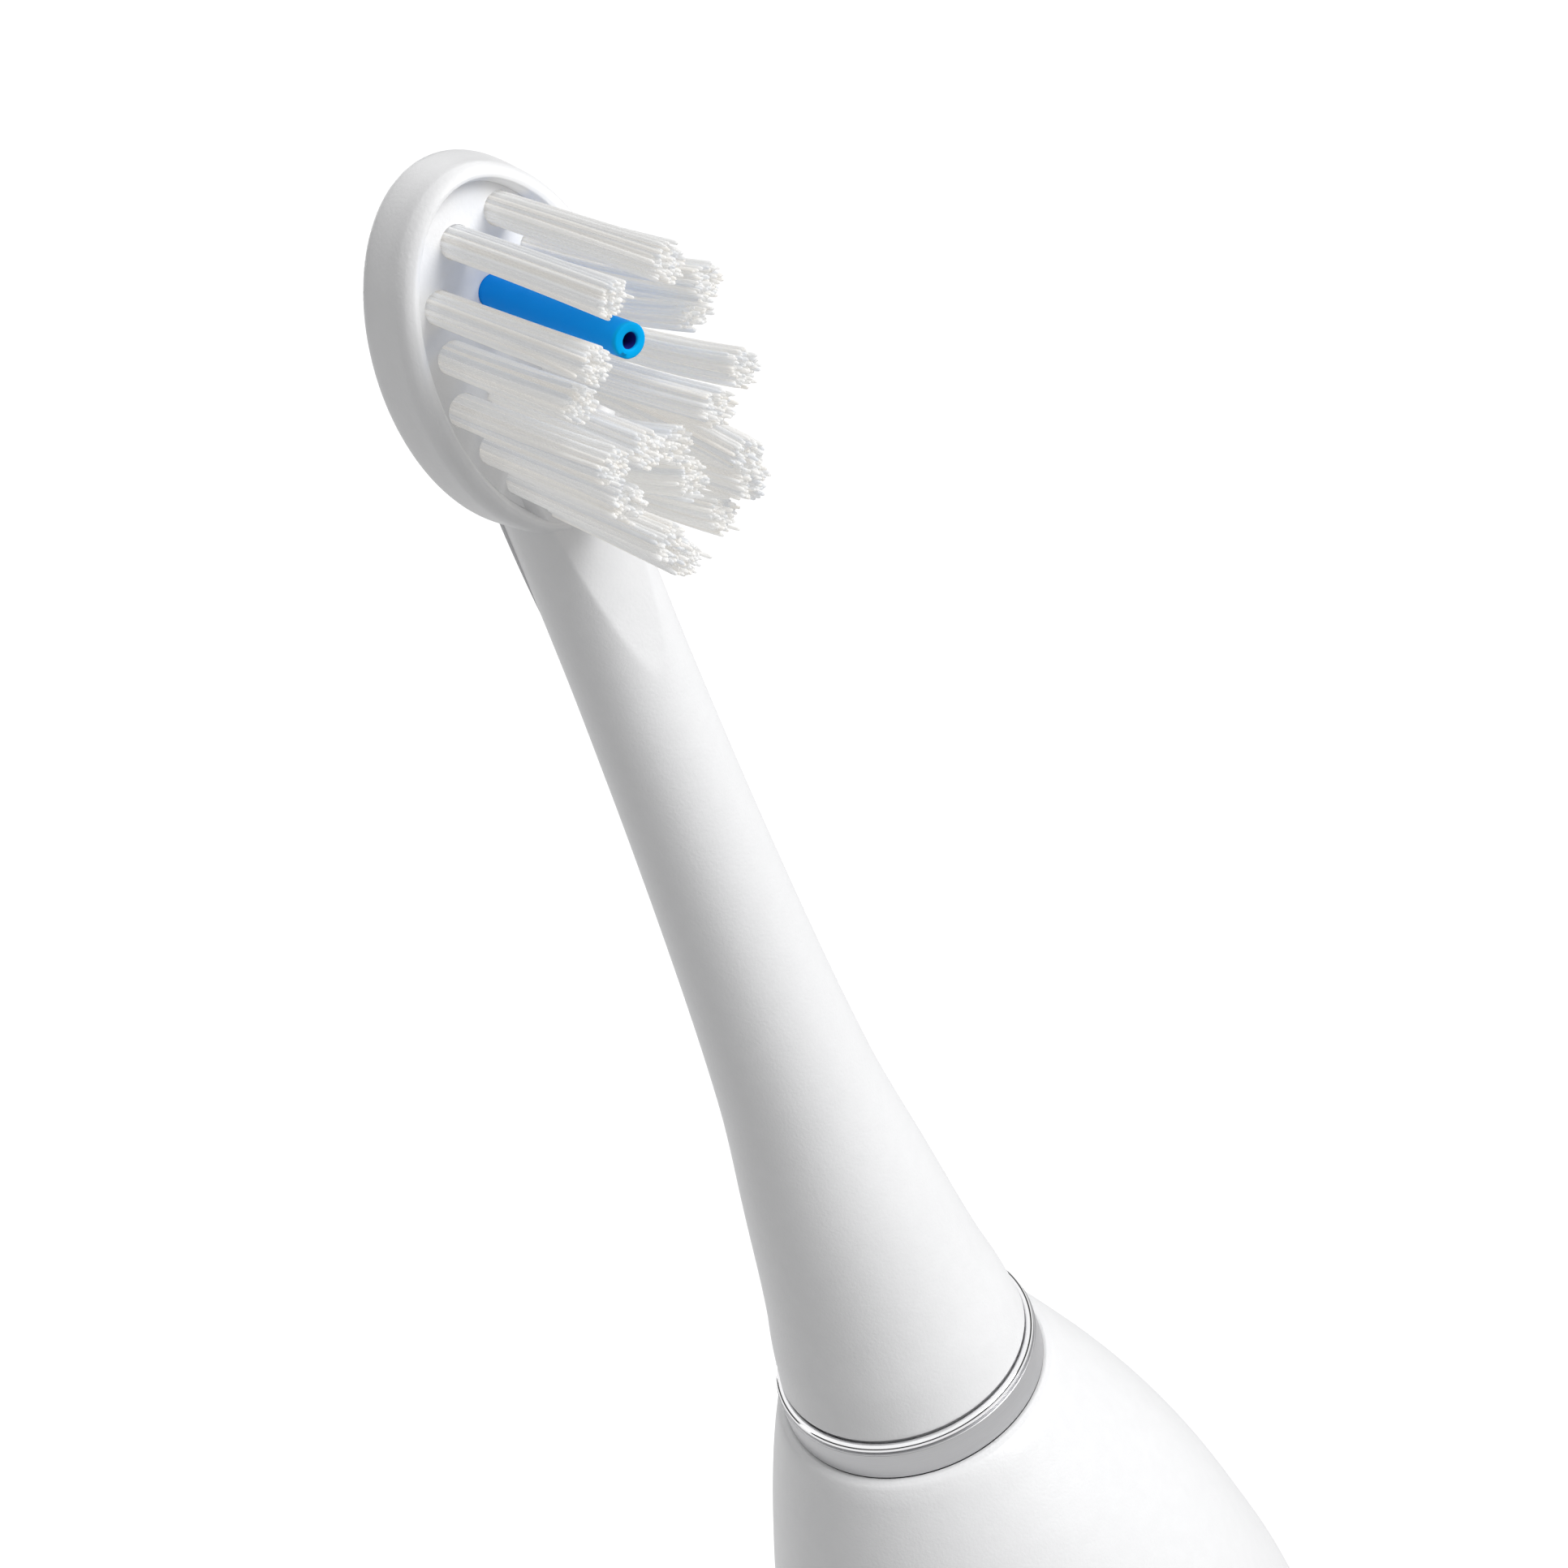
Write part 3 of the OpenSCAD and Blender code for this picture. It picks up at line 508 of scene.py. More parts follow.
def laminated():
    s = Surface("iron", 0.45, 1.0)
    s.layered(300, [(0.0, (0.10, 0.10, 0.11, 1)), (0.4, (0.30, 0.30, 0.32, 1))], 0.3, 5e-5)
    return s.material


def board_green():
    s = Surface("board_green", 0.35)
    cells = s.nodes.new("ShaderNodeTexVoronoi")
    cells.inputs["Scale"].default_value = 600
    s.links.new(s.stretched((1, 1, 0.4)), cells.inputs["Vector"])
    s.colour(s.ramp(cells.outputs["Distance"],
                    [(0.1, (0.01, 0.16, 0.07, 1)), (0.5, (0.02, 0.24, 0.11, 1))]))
    s.grain(2000, 0.1)
    return s.material


def clear_tube():
    s = Surface("clear_tube", 0.22, Transmission_Weight=0.35, Specular_IOR_Level=0.5)
    s.mottled((0.82, 0.86, 0.89), 0.02, 500).grain(900, 0.1, 2e-5)
    return s.material


def lens():
    s = Surface("lens", 0.25, Transmission_Weight=0.3)
    s.mottled((0.72, 0.88, 0.97), 0.03, 3000).grain(6000, 0.1)
    return s.material


MATERIAL = {
    "satin_white": white_plastic("satin_white", (0.875, 0.877, 0.885), 0.36),
    "plate_white": white_plastic("plate_white", (0.875, 0.877, 0.885), 0.42),
    "panel_grey": white_plastic("panel_grey", (0.62, 0.635, 0.66), 0.5),
    "nylon": tuft_nylon_painted_glow(),
    "jet_blue": jet_blue(),
    "jet_blue_plain": plain_blue(),
    "clear_tube": clear_tube(),
    "inner_plastic": moulded("inner_plastic", (0.66, 0.67, 0.69)),
    "dark_plastic": moulded("dark_plastic", (0.055, 0.058, 0.065)),
    "steel": metal("steel", (0.62, 0.62, 0.63), 0.24),
    "polished": metal("polished", (0.93, 0.93, 0.94), 0.09, (1, 1, 1), 0.01, 0.02),
    "satin_metal": metal("satin_metal", (0.54, 0.54, 0.55), 0.42, (1, 1, 40), 0.03, 0.1),
    "magnet": metal("magnet", (0.42, 0.42, 0.44), 0.3, (1, 1, 1), 0.06, 0.1),
    "iron": laminated(),
    "copper": winding(),
    "rubber_black": rubber("rubber_black", (0.012, 0.012, 0.013)),
    "rubber_grey": rubber("rubber_grey", (0.10, 0.105, 0.115)),
    "board_green": board_green(),
    "cell_wrap": moulded("cell_wrap", (0.03, 0.10, 0.24), 0.3),
    "lens": lens(),
}
BORE = bore_painted_shade()


# ---- Brush head ----

def neck_piece():
    """The neck with its rounded foot, slanted flat and bore."""
    outer = [(r, z) for r, z in rounded(NECK_FOOT, 0.08)]
    outer += [(float(neck_r(z)), z) for z in np.linspace(0.6, 85, 170)]
    bore_r = curve_of(NECK_BORE)
    bore = [(float(bore_r(z)), z) for z in np.linspace(64, 0.2, 48)]
    rings = lathe([(r, COLLAR_Z + z) for r, z in outer + NECK_TOP + bore], 200)
    for ring in rings[:len(outer) + 1]:
        plane = FLAT_Y + (ring[:, 2] - FLAT_Z) * FLAT_LEAN
        over = ring[:, 1] - plane
        cut = plane + (over + np.sqrt(over * over + FLAT_SOFT ** 2)) / 2
        ring[:, 1] = np.where(ring[:, 2] > FLAT_Z - 3, cut, ring[:, 1])
    verts, faces = loft(rings, closed=True)
    piece = make("neck", verts, faces, MATERIAL["satin_white"], "brush_head", 50)
    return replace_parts(piece, "neck_shell")


def oval(w, h, y, n=256):
    """A ring round the head's middle."""
    a = np.linspace(0, 2 * math.pi, n, endpoint=False)
    return np.column_stack([w * np.cos(a), np.full(n, y), PLATE_Z + h * np.sin(a)])


def bowl_piece():
    """The oval head: domed back, flared skirt, soft rim and the step down to the face."""
    steps = np.linalg.norm(np.diff(np.array(BOWL), axis=0), axis=1)
    span = np.concatenate([[0], np.cumsum(steps)])
    inward_w, inward_h, back = (smooth_curve(span, [p[i] for p in BOWL]) for i in range(3))
    stations = np.unique(np.concatenate([span, np.linspace(span[2], span[-2], 70)]))
    rings = [oval(BOWL_W - inward_w(s), BOWL_H - inward_h(s), float(back(s))) for s in stations]
    verts, faces = loft(rings[::-1])
    return make("head_bowl", verts, faces, MATERIAL["satin_white"], "brush_head", 60)


def cover_piece():
    """The long rounded back that hides the water channel."""
    r, front, columns = COVER_R, COVER_FRONT_Y, 65
    thinner, taper = 0.22, 8.0
    profile = [(r - 0.35, COVER_LOW), (r - 0.25, COVER_LOW + 0.1)]
    profile += [(r - thinner * max(0.0, 1 - (z - COVER_LOW) / taper) ** 2, z)
                for z in np.linspace(COVER_LOW + 0.4, COVER_ROUND, 50)]
    profile += [(r * math.cos(t), COVER_ROUND + (COVER_TOP - COVER_ROUND) * math.sin(t))
                for t in np.linspace(0.06, 1.56, 24)]
    half = []
    for radius, z in profile:
        turn = math.acos(min(0.999, front / max(radius, front + 0.02)))
        a = np.linspace(-turn, turn, columns)
        half.append(np.column_stack([radius * np.sin(a), np.maximum(radius * np.cos(a), front),
                                     np.full(columns, z)]))
    verts, faces = loft(half)
    piece = make("channel_cover", verts, faces, MATERIAL["satin_white"], "brush_head",
                 45)
    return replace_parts(piece, "rear_cover")


def islands(node):
    """Vertex sets of a CAD node's separate solids, in millimetres."""
    mesh = frame["nodes"][node].data
    places = np.array([tuple(v.co) for v in mesh.vertices]) / MM
    keys = {}
    parent = [keys.setdefault(tuple(np.round(p, 3)), i) for i, p in enumerate(places)]

    def root(i):
        while parent[i] != i:
            parent[i] = parent[parent[i]]
            i = parent[i]
        return i
    for face in mesh.polygons:
        first = root(face.vertices[0])
        for v in face.vertices[1:]:
            parent[root(v)] = first
    groups = {}
    for i in range(len(places)):
        groups.setdefault(root(i), []).append(i)
    return [places[g] for g in groups.values()]


def filament(centre, offset, tip_y, spread, bend, radius, rng):
    """One bristle as a thin bar with a rounded tip."""
    sides = 6
    stations = np.array([0.0, 0.12, 0.3, 0.5, 0.7, 0.86, 0.98, 0.995, 1.0])
    thick = np.array([1, 1, 1, 1, 1, 1, 1, 0.85, 0.5]) * radius
    a = np.linspace(0, 2 * math.pi, sides, endpoint=False) + rng.uniform(0, 1)
    rings = []
    for t, r in zip(stations, thick):
        x = centre[0] + offset[0] * (1 + spread * t ** 0.7) + bend[0] * t * t
        z = centre[1] + offset[1] * (1 + spread * t ** 0.7) + bend[1] * t * t
        y = TUFT_ROOT_Y + (tip_y - TUFT_ROOT_Y) * t
        rings.append(np.column_stack([x + r * np.cos(a), np.full(sides, y), z + r * np.sin(a)]))
    return loft(rings)


def tuft_lean(centre):
    """How far a bundle's tips stand off its root across and up, and how much it is trimmed."""
    x, up = centre[0], centre[1] - PLATE_Z
    far, near = min((math.hypot(t[0] - x, t[1] - up), t) for t in TUFT_LEAN)
    if far > 0.6:
        return np.array([0.0, 0.0]), 0.0
    return np.array(near[2:4]), near[4]


def tuft_piece(node, seed):
    """All the bundles of a CAD node, each of separate filaments with a few strays."""
    rng = np.random.default_rng(seed)
    golden_turn, fill, cut_slope = 2.39996, 0.9, 0.15
    stray_share, stray_short = 0.04, 0.7
    tip_scatter, own_bend, stray_bend = 0.16, 0.07, 0.25
    bristles = []
    for solid in islands(node):
        low, high = solid.min(0), solid.max(0)
        centre = (low + high)[[0, 2]] / 2
        tuft_r = (high[0] - low[0]) / 2
        lean, trim = tuft_lean(centre)
        spread = rng.uniform(0.11, 0.2)
        cut = rng.normal(0, cut_slope, 2)
        for i in range(FILAMENTS):
            r = tuft_r * fill * math.sqrt((i + 0.5) / FILAMENTS)
            a = i * golden_turn + rng.normal(0, 0.12)
            offset = (r * math.cos(a), r * math.sin(a))
            stray = rng.random() < stray_share
            tip = low[1] + trim + cut @ offset + rng.normal(0, tip_scatter)
            tip -= rng.uniform(0, stray_short) if stray else 0
            bend = lean + rng.normal(0, stray_bend if stray else own_bend, 2)
            radius = rng.uniform(*FILAMENT_R)
            bristles.append(filament(centre, offset, tip, spread, bend, radius, rng))
    verts, faces = joined(bristles)
    piece = make(node + "_filaments", verts, faces, MATERIAL["nylon"], "brush_head", 80)
    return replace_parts(piece, node)


def nozzle_piece():
    """The jet nozzle: soft end, notch at its lower edge and a bore coloured dark as painted shade,
    closed by a dark disc deep inside.
    """
    tip = (np.array(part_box("jet_nozzle")[0]) / MM)[1]
    r, z0, sides = NOZZLE_R, PLATE_Z + NOZZLE_UP, 96
    bore_r, flat_r = 0.45, 0.7
    notch_at, notch_width, notch_depth = math.radians(216), 0.17, 0.45
    a = np.linspace(0, 2 * math.pi, sides, endpoint=False)
    section = [(r, 0.9), (r, -2), (r, -6), (r, -10), (r, tip + 0.5), (r, tip + 0.10),
               (r - 0.03, tip + 0.03), (r - 0.10, tip), (flat_r, tip), (0.54, tip),
               (0.47, tip + 0.04), (bore_r, tip + 0.12), (bore_r, tip + 1.5)]
    off_notch = np.angle(np.exp(1j * (a - notch_at))) / notch_width
    notch = 1 / (1 + off_notch ** 8)
    rings = []
    for radius, y in section:
        outer = np.clip((radius - flat_r) / (r - flat_r), 0, 1)
        back = notch_depth * outer * notch * (y < tip + 0.2)
        rings.append(np.column_stack([radius * np.cos(a), y + back, z0 + radius * np.sin(a)]))
    verts, faces = loft(rings, ends=False)
    piece = make("nozzle_tube", verts, faces, MATERIAL["jet_blue"], "brush_head", 50)
    # The bore's walls and its closing disc carry the painted shade of the hole.
    bore = [np.column_stack([q * np.cos(a), np.full(sides, y), z0 + q * np.sin(a)])
            for q, y in ((0.449, tip + 0.15), (0.44, tip + 4), (0.43, tip + 8))]
    verts, faces = loft(bore, ends=False)
    faces.append(tuple(range(2 * sides, 3 * sides)))
    make("nozzle_bore", verts, faces, BORE, "brush_head", 50)
    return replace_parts(piece, "jet_nozzle")


# ---- Handle ----

def collar():
    """The polished bead, the satin band under it and the black seam."""
    radius, height = BEAD_AT
    bead = [(radius + BEAD_R * math.cos(t), height + BEAD_R * math.sin(t))
            for t in np.linspace(-0.5 * math.pi, 0.9 * math.pi, 72)]
    section = [(COLLAR_IN, BAND_HIGH)] + bead + [(COLLAR_IN, BEAD_TOP)]
    verts, faces = loft(lathe(section, 600), closed=True)
    piece = make("bead_ring", verts, faces, MATERIAL["polished"], "handle", 50)
    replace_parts(piece, "collar_bead")
    ring_piece("band_ring", (COLLAR_IN, BAND_R, BAND_LOW, BAND_HIGH), 0.09,
               "satin_metal", "collar_band", 320)
    ring_piece("gasket_ring", (COLLAR_IN, GASKET_R, SHELL_TOP, BAND_LOW), 0.02,
               "rubber_black", "seam_gasket", 320)


def shell_piece():
    """The handle's shell, with a window for the controls, a soft top edge and its inner wall."""
    window, edge = 0.1, 0.3
    unroll = 20.0            # radius at which the shell is laid out flat
    front_turn, far_across, far = 1.2, 99.0, 5.0
    outside = stadium(window)

    def to_flat(loop):
        return [(math.asin(x / float(handle_r(z))) * unroll, z) for x, z in loop]

    def distance(s, z):
        a = s / unroll
        near = np.abs(a) < front_turn
        across = np.where(near, handle_r(z) * np.sin(a), far_across)
        return np.where(near, outside(across, z), far)

    low, high = SHELL_LOW, SHELL_TOP - 0.35
    sides, rows = 144, 132
    turn = np.linspace(-math.pi, math.pi, sides + 1) * unroll
    heights = np.linspace(low, high, rows)
    border = ([(t, low) for t in turn] + [(turn[-1], z) for z in heights[1:]]
              + [(t, high) for t in turn[-2::-1]] + [(turn[0], z) for z in heights[-2:0:-1]])
    loops = [border] + [to_flat(stadium_loop(window + g)) for g in (0.0, edge * 0.3, edge)]
    grid = [(t, z) for z in heights[1:-1] for t in turn[1:-1] if distance(t, z) > edge + 0.25]
    flat, faces = patch(loops, grid, distance)
    a, z = flat[:, 0] / unroll, flat[:, 1]
    r = handle_r(z) - edge_drop(distance(flat[:, 0], z), edge)
    parts = [(np.column_stack([r * np.sin(a), -handle_lean(z) - r * np.cos(a), z]), faces)]

    more, walls = wall(stadium_loop(window), lambda x, q: front_y(x, q, edge),
                       lambda x, q: front_y(x, q, SHELL_WALL))
    parts.append((more, [f[::-1] for f in walls]))
    lip = [(float(handle_r(high)), high)] + [(p, SHELL_TOP + up) for p, up in SHELL_LIP]
    lip = rounded(lip + [(SHELL_LIP[-1][0], WALL_TOP)], 0.06)
    inner = [(float(handle_r(q)) - SHELL_WALL, q) for q in np.linspace(WALL_TOP, low, 40)]
    for section in (lip, inner, [(15.6, low), (13.6, low)]):
        parts.append(loft(lathe(section, sides, handle_lean), ends=False))
    verts, faces = joined(parts)
    piece = make("shell", verts, faces, MATERIAL["satin_white"], "handle", 40)
    piece.modifiers.new("weld", "WELD").merge_threshold = 2e-6
    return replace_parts(piece, "handle_shell")


def panel_piece():
    """The soft-touch control panel with its button, slider and lens openings, edges rounded."""
    edge, hole_edge = 0.35, 0.2
    holes = [(0.0, z, BUTTON_R + BUTTON_GAP) for z in (BRUSH_Z, FLOSS_Z)]
    holes += [(i * LENS_PITCH, LENS_Z, LENS_R + 0.03) for i in LENS_PLACES]
    outer = stadium(0.0)

    def parts(x, z):
        """Distance in from the outline, and out from the nearest opening."""
        gaps = [np.hypot(x - hx, z - hz) - hr for hx, hz, hr in holes]
        return -outer(x, z), np.min(gaps + [slot_distance(x, z)], axis=0)

    def inside(x, z):
        return np.minimum(*parts(x, z))

    def drop(x, z):
        out, inn = (np.maximum(d, 0) for d in parts(x, z))
        return np.maximum(edge_drop(out, edge), edge_drop(inn, hole_edge))

    def openings(grow):
        return [circle_loop(hx, hz, hr + grow) for hx, hz, hr in holes] + [slot_loop(grow)]

    outlines = [stadium_loop(-g) for g in (0.0, edge * 0.3, edge)]
    cuts = openings(0.0)
    loops = outlines + cuts + openings(hole_edge * 0.35) + openings(hole_edge)
    grid = [(x, z) for z in np.arange(PANEL_LOW, PANEL_HIGH, 0.9)
            for x in np.arange(-PANEL_W, PANEL_W, 0.9)
            if parts(x, z)[0] > edge + 0.2 and parts(x, z)[1] > hole_edge + 0.2]
    flat, faces = patch(loops, grid, inside)
    x, z = flat[:, 0], flat[:, 1]
    pieces = [(np.column_stack([x, front_y(x, z, -PANEL_PROUD) + drop(x, z), z]), faces)]
    for loop, width in [(outlines[0], edge)] + [(c, hole_edge) for c in cuts]:
        pieces.append(wall(loop, lambda p, q, w=width: front_y(p, q, -PANEL_PROUD) + w,
                           lambda p, q: front_y(p, q, PANEL_THICK)))
    verts, faces = joined(pieces)
    piece = make("panel", verts, faces, MATERIAL["panel_grey"], "handle", 45)
    piece.modifiers.new("weld", "WELD").merge_threshold = 2e-6
    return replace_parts(piece, "control_panel")


def turned_along_y(section, x, z, sides=96):
    """Rings round a line along Y through (radius, y) points."""
    a = np.linspace(0, 2 * math.pi, sides, endpoint=False)
    return [np.column_stack([x + r * np.cos(a), np.full(sides, y), z + r * np.sin(a)])
            for r, y in section]


def lens_piece():
    """Three crowned indicator lenses."""
    lenses = []
    for x in [i * LENS_PITCH for i in LENS_PLACES]:
        y = float(front_y(x, LENS_Z, -0.12))
        section = [(LENS_R * 0.02, y), (LENS_R * 0.5, y + 0.02), (LENS_R * 0.85, y + 0.08),
                   (LENS_R, y + 0.22), (LENS_R, y + LENS_BACK)]
        lenses.append(loft(turned_along_y(section, x, LENS_Z, 48)))
    verts, faces = joined(lenses)
    piece = make("lenses", verts, faces, MATERIAL["lens"], "handle", 50)
    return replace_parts(piece, "indicator_lenses")


def cap_piece():
    """The bottom cap's wall, floor and seat for the foot ring."""
    outline = curve_of(CAP_SIDE)
    outer = [(float(outline(z)), z) for z in np.linspace(0.95, 15.85, 60)]
    verts, faces = loft(lathe(CAP_FLOOR + outer + CAP_INSIDE, 192), closed=True)
    piece = make("cap", verts, faces, MATERIAL["satin_white"], "handle", 40)
    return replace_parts(piece, "bottom_cap")


def foot():
    """The rubber foot ring and the seal between cap and shell."""
    ring_piece("foot", (FOOT_IN, FOOT_OUT, 0.0, FOOT_HIGH), 0.3, "rubber_grey", "foot_ring", 160)
    ring_piece("seal", (SEAL_IN, SEAL_OUT, CAP_TOP, SHELL_LOW), 0.05,
               "rubber_grey", "cap_seal", 160)


# ---- Controls ----

def crown_sag(distance):
    """How far a button's crowned front has fallen back at a distance from its middle."""
    return BUTTON_CROWN - np.sqrt(BUTTON_CROWN ** 2 - distance ** 2)


def button_piece(name, z, icon):
    """A crowned button with a flange and stem, and a raised mark on it."""
    y = float(front_y(0, z)) - BUTTON_PROUD
    rim = y + BUTTON_PROUD
    flange, flange_front, flange_back = BUTTON_FLANGE
    section = [(r, y + float(crown_sag(r))) for r in BUTTON_R * np.linspace(0.01, 0.93, 16)]
    section += [(BUTTON_R - 0.2, y + 0.46), (BUTTON_R - 0.06, y + 0.58), (BUTTON_R, y + 0.77)]
    section += [(BUTTON_R, rim + flange_front), (BUTTON_R + flange, rim + flange_front),
                (BUTTON_R + flange, rim + flange_back), (BUTTON_STEM_R, rim + flange_back),
                (BUTTON_STEM_R, float(np.array(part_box(name)[1])[1] / MM))]
    verts, faces = loft(turned_along_y(section, 0, z))
    piece = make(name + "_cap", verts, faces, MATERIAL["satin_white"], name, 40)
    marks = []
    for outline in icon:
        loop = np.array(outline)
        middle = loop.mean(0)
        rings = []
        for inset, up in ((0.0, -0.15), (0.0, 0.07), (0.06, 0.13)):
            p = middle + (loop - middle) * (1 - inset / max(0.2, np.abs(loop - middle).max()))
            sag = crown_sag(np.hypot(p[:, 0], p[:, 1]))
            rings.append(np.column_stack([p[:, 0], y + sag - up, z + p[:, 1]]))
        marks.append(loft(rings))
    verts, faces = joined(marks)
    make(name + "_mark", verts, faces, MATERIAL["panel_grey"], name, 40)
    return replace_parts(piece, name)


def bar(x0, z0, x1, z1, r, n=10):
    """Outline of a bar with round ends."""
    angles = math.atan2(z1 - z0, x1 - x0) + np.linspace(-1.57, 1.57, n)
    return ([(x1 + r * math.cos(t), z1 + r * math.sin(t)) for t in angles]
            + [(x0 - r * math.cos(t), z0 - r * math.sin(t)) for t in angles])


def brush_mark():
    """A row of bristles on a bar."""
    bristles = [bar(x, -0.4, x, 1.5, 0.22) for x in np.linspace(-2, 2, 5)]
    return [bar(-2.4, -1.1, 2.4, -1.1, 0.32)] + bristles


def drop_mark():
    """A drop and two spray lines."""
    drop = []
    for t in np.linspace(0, 2 * math.pi, 40, endpoint=False):
        r = 1.05 * (1 - 0.25 * math.sin(t) + 0.25 * max(0.0, math.sin(t)) ** 6 * 3)
        drop.append((r * math.cos(t) * 0.95, r * math.sin(t) - 0.2))
    return [drop, bar(-2.6, 0.6, -1.7, 0.3, 0.18), bar(2.6, 0.6, 1.7, 0.3, 0.18)]


def even_pillow(n, power=4.5):
    """Evenly spaced points round a soft square that reaches one unit out each way."""
    a = np.linspace(0, 2 * math.pi, 4001)
    curve = np.column_stack([np.sign(f) * np.abs(f) ** (2 / power) for f in (np.cos(a), np.sin(a))])
    steps = np.linalg.norm(np.diff(curve, axis=0), axis=1)
    along = np.concatenate([[0], np.cumsum(steps)])
    even = np.linspace(0, along[-1], n, endpoint=False)
    return np.column_stack([np.interp(even, along, curve[:, i]) for i in (0, 1)])


def slider_piece():
    """The flow slider: a soft pillow with finger grooves on a stem."""
    half_w, half_h = SLIDER_HALF
    top = float(front_y(0, SLIDER_Z)) - SLIDER_PROUD
    n = 240
    unit = even_pillow(n)

    def ring(w, h, y):
        return np.column_stack([w * unit[:, 0], np.full(n, y), SLIDER_Z + h * unit[:, 1]])

    rings = [ring(SLIDER_STEM, SLIDER_STEM, y) for y in (SLIDER_STEM_Y, top + 1.4)]
    for s, y in ((0.97, 1.4), (1.0, 1.2), (1.0, 0.5), (0.985, 0.28), (0.95, 0.12), (0.9, 0.04)):
        rings.append(ring(half_w * s, half_h * s, top + y))
    half_pitch = SLIDER_GROOVE / 2
    for s in np.linspace(0.88, 0.01, 60):
        x, z = half_w * s * unit[:, 0], half_h * s * unit[:, 1]
        off = (z + half_pitch) % SLIDER_GROOVE - half_pitch
        groove = np.exp(-(off / 0.3) ** 2) * (np.abs(z) < 3.6)
        fade = np.clip((0.9 - np.abs(x) / half_w) / 0.12, 0, 1)
        rings.append(np.column_stack([x, top + 0.34 * groove * fade, SLIDER_Z + z]))
    verts, faces = loft(rings)
    piece = make("slider_knob", verts, faces, MATERIAL["jet_blue_plain"], "flow_slider",
                 45)
    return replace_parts(piece, "flow_slider")


# ---- CAD parts that show as they are ----

def dress_nodes():
    """Materials for every CAD node, and soft edges for those that stay in sight."""
    slots = {s["node"]: s["material_slot"] for s in frame["record"]["subparts"]}
    for name, node in frame["nodes"].items():
        slot = slots[name]
        node.data.materials.clear()
        node.data.materials.append(MATERIAL["jet_blue_plain" if slot == "jet_blue" else slot])
        if node.hide_render:
            continue
        node.modifiers.new("weld", "WELD").merge_threshold = 1e-6
        soft = node.modifiers.new("soft", "BEVEL")
        soft.width = (PLATE_SOFT if name == "tuft_plate" else EDGE_SOFT) * MM
        soft.segments = 2
        soft.limit_method = "ANGLE"
        soft.angle_limit = math.radians(50)
        soft.harden_normals = False


# ---- Stage ----

def camera():
    """The photographer's view: from the left, above and in front."""
    cam = bpy.data.objects.new("camera", bpy.data.cameras.new("camera"))
    back = -CAMERA_FORWARD.normalized()
    right = CAMERA_UP.cross(back).normalized()
    up = back.cross(right)
    turn = Matrix((right, up, back)).transposed().to_4x4()
    cam.matrix_world = Matrix.Translation(CAMERA_AT) @ turn
    cam.data.sensor_width = 36
    cam.data.lens = LENS_MM
    cam.data.clip_start = 0.01
    bpy.context.scene.collection.objects.link(cam)
    bpy.context.scene.camera = cam


def softbox(name, direction, distance, width, height, power):
    """A rectangular light that looks at the neck."""
    light = bpy.data.lights.new(name, "AREA")
    light.shape, light.size, light.size_y, light.energy = "RECTANGLE", width, height, power
    lamp = bpy.data.objects.new(name, light)
    toward = Vector(direction).normalized()
    lamp.location = LIGHTS_AIM + toward * distance
    lamp.rotation_mode = "QUATERNION"
    lamp.rotation_quaternion = toward.to_track_quat("Z", "Y")
    bpy.context.scene.collection.objects.link(lamp)


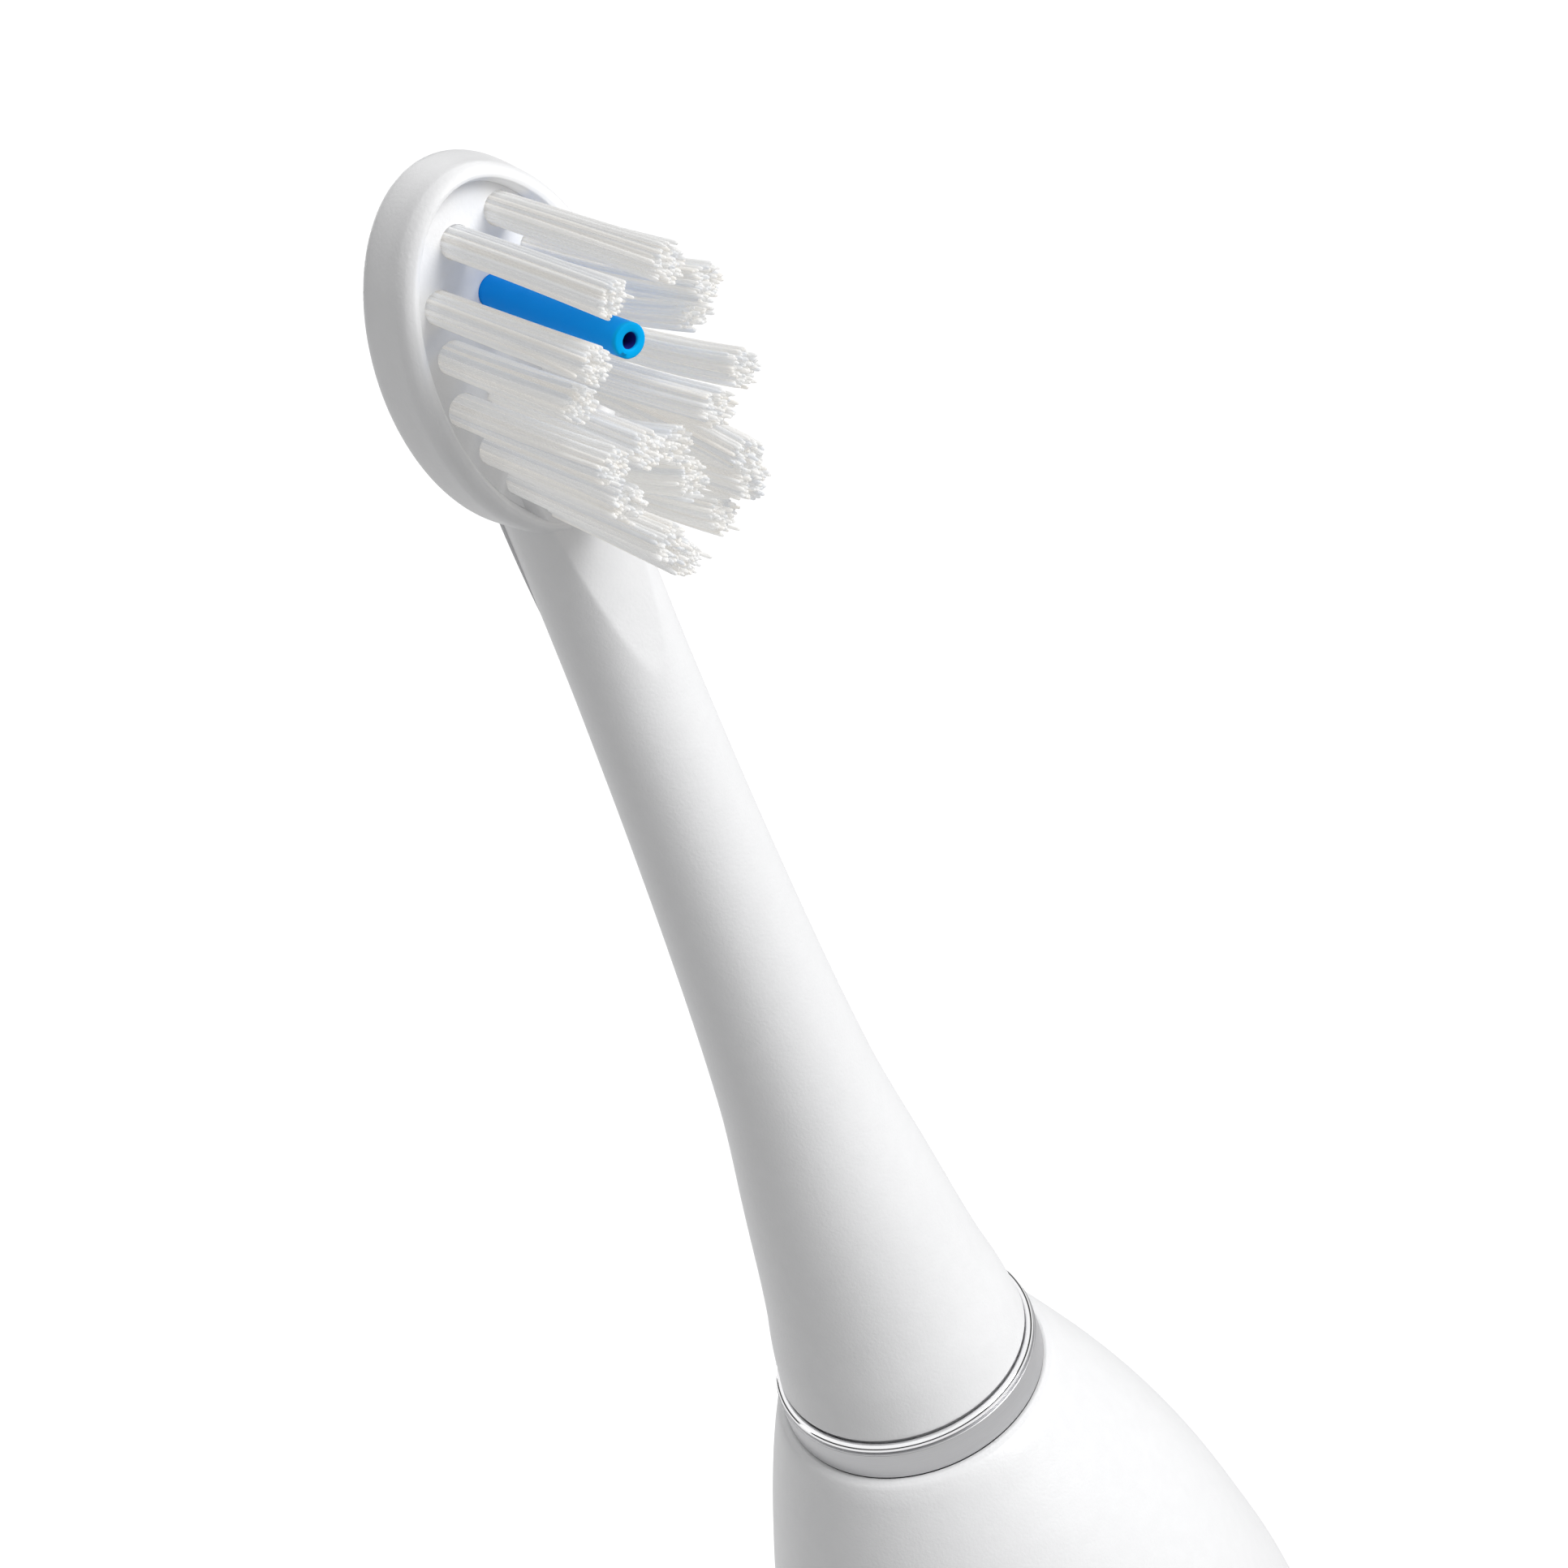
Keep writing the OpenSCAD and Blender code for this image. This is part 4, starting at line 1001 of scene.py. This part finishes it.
def studio_world():
    """White to the eye, soft grey as a light, and white with a dark low band in reflections."""
    world = bpy.data.worlds.new("studio")
    bpy.context.scene.world = world
    world.use_nodes = True
    nodes, links = world.node_tree.nodes, world.node_tree.links
    light = nodes["Background"]
    light.inputs["Color"].default_value = (1, 1, 1, 1)
    path = nodes.new("ShaderNodeLightPath")
    at = nodes.new("ShaderNodeTexCoord")
    split = nodes.new("ShaderNodeSeparateXYZ")
    links.new(at.outputs["Generated"], split.inputs["Vector"])
    band = colour_ramp(nodes, [(place, (value, value, value, 1)) for place, value in SKY_BAND])
    shift = nodes.new("ShaderNodeMapRange")
    shift.inputs["From Min"].default_value = -1
    links.new(split.outputs["Z"], shift.inputs["Value"])
    links.new(shift.outputs["Result"], band.inputs["Fac"])
    diffuse = nodes.new("ShaderNodeMix")
    diffuse.inputs["A"].default_value = SKY_LIGHT
    links.new(path.outputs["Is Glossy Ray"], diffuse.inputs["Factor"])
    links.new(band.outputs["Color"], diffuse.inputs["B"])
    seen = nodes.new("ShaderNodeMix")
    seen.inputs["B"].default_value = 1.0
    links.new(path.outputs["Is Camera Ray"], seen.inputs["Factor"])
    links.new(diffuse.outputs["Result"], seen.inputs["A"])
    links.new(seen.outputs["Result"], light.inputs["Strength"])


def floor():
    """A plain pale floor that stays white and doesn't light the object."""
    n = 8
    places = np.linspace(-FLOOR_HALF, FLOOR_HALF, n)
    verts = [(x, y, -FLOOR_DROP) for y in places for x in places]
    faces = [(j * n + i, j * n + i + 1, (j + 1) * n + i + 1, (j + 1) * n + i)
             for j in range(n - 1) for i in range(n - 1)]
    mesh = bpy.data.meshes.new("floor")
    mesh.from_pydata(verts, [], faces)
    ground = bpy.data.objects.new("floor", mesh)
    bpy.context.scene.collection.objects.link(ground)
    s = Surface("floor", 0.9, Specular_IOR_Level=0.0, Emission_Color=(1, 1, 1, 1),
                Emission_Strength=FLOOR_GLOW)
    s.mottled((0.34, 0.34, 0.345), 0.01, 20)
    mesh.materials.append(s.material)
    ground.visible_diffuse = False
    ground.visible_glossy = False


def build():
    camera()
    neck_piece()
    bowl_piece()
    cover_piece()
    tuft_piece("outer_tufts", 11)
    tuft_piece("inner_tufts", 12)
    nozzle_piece()
    collar()
    shell_piece()
    panel_piece()
    lens_piece()
    cap_piece()
    foot()
    button_piece("brush_button", BRUSH_Z, brush_mark())
    button_piece("floss_button", FLOSS_Z, drop_mark())
    slider_piece()
    dress_nodes()
    floor()
    studio_world()
    for light in SOFTBOXES:
        softbox(*light)
    bpy.context.scene.view_settings.view_transform = "Standard"


build()
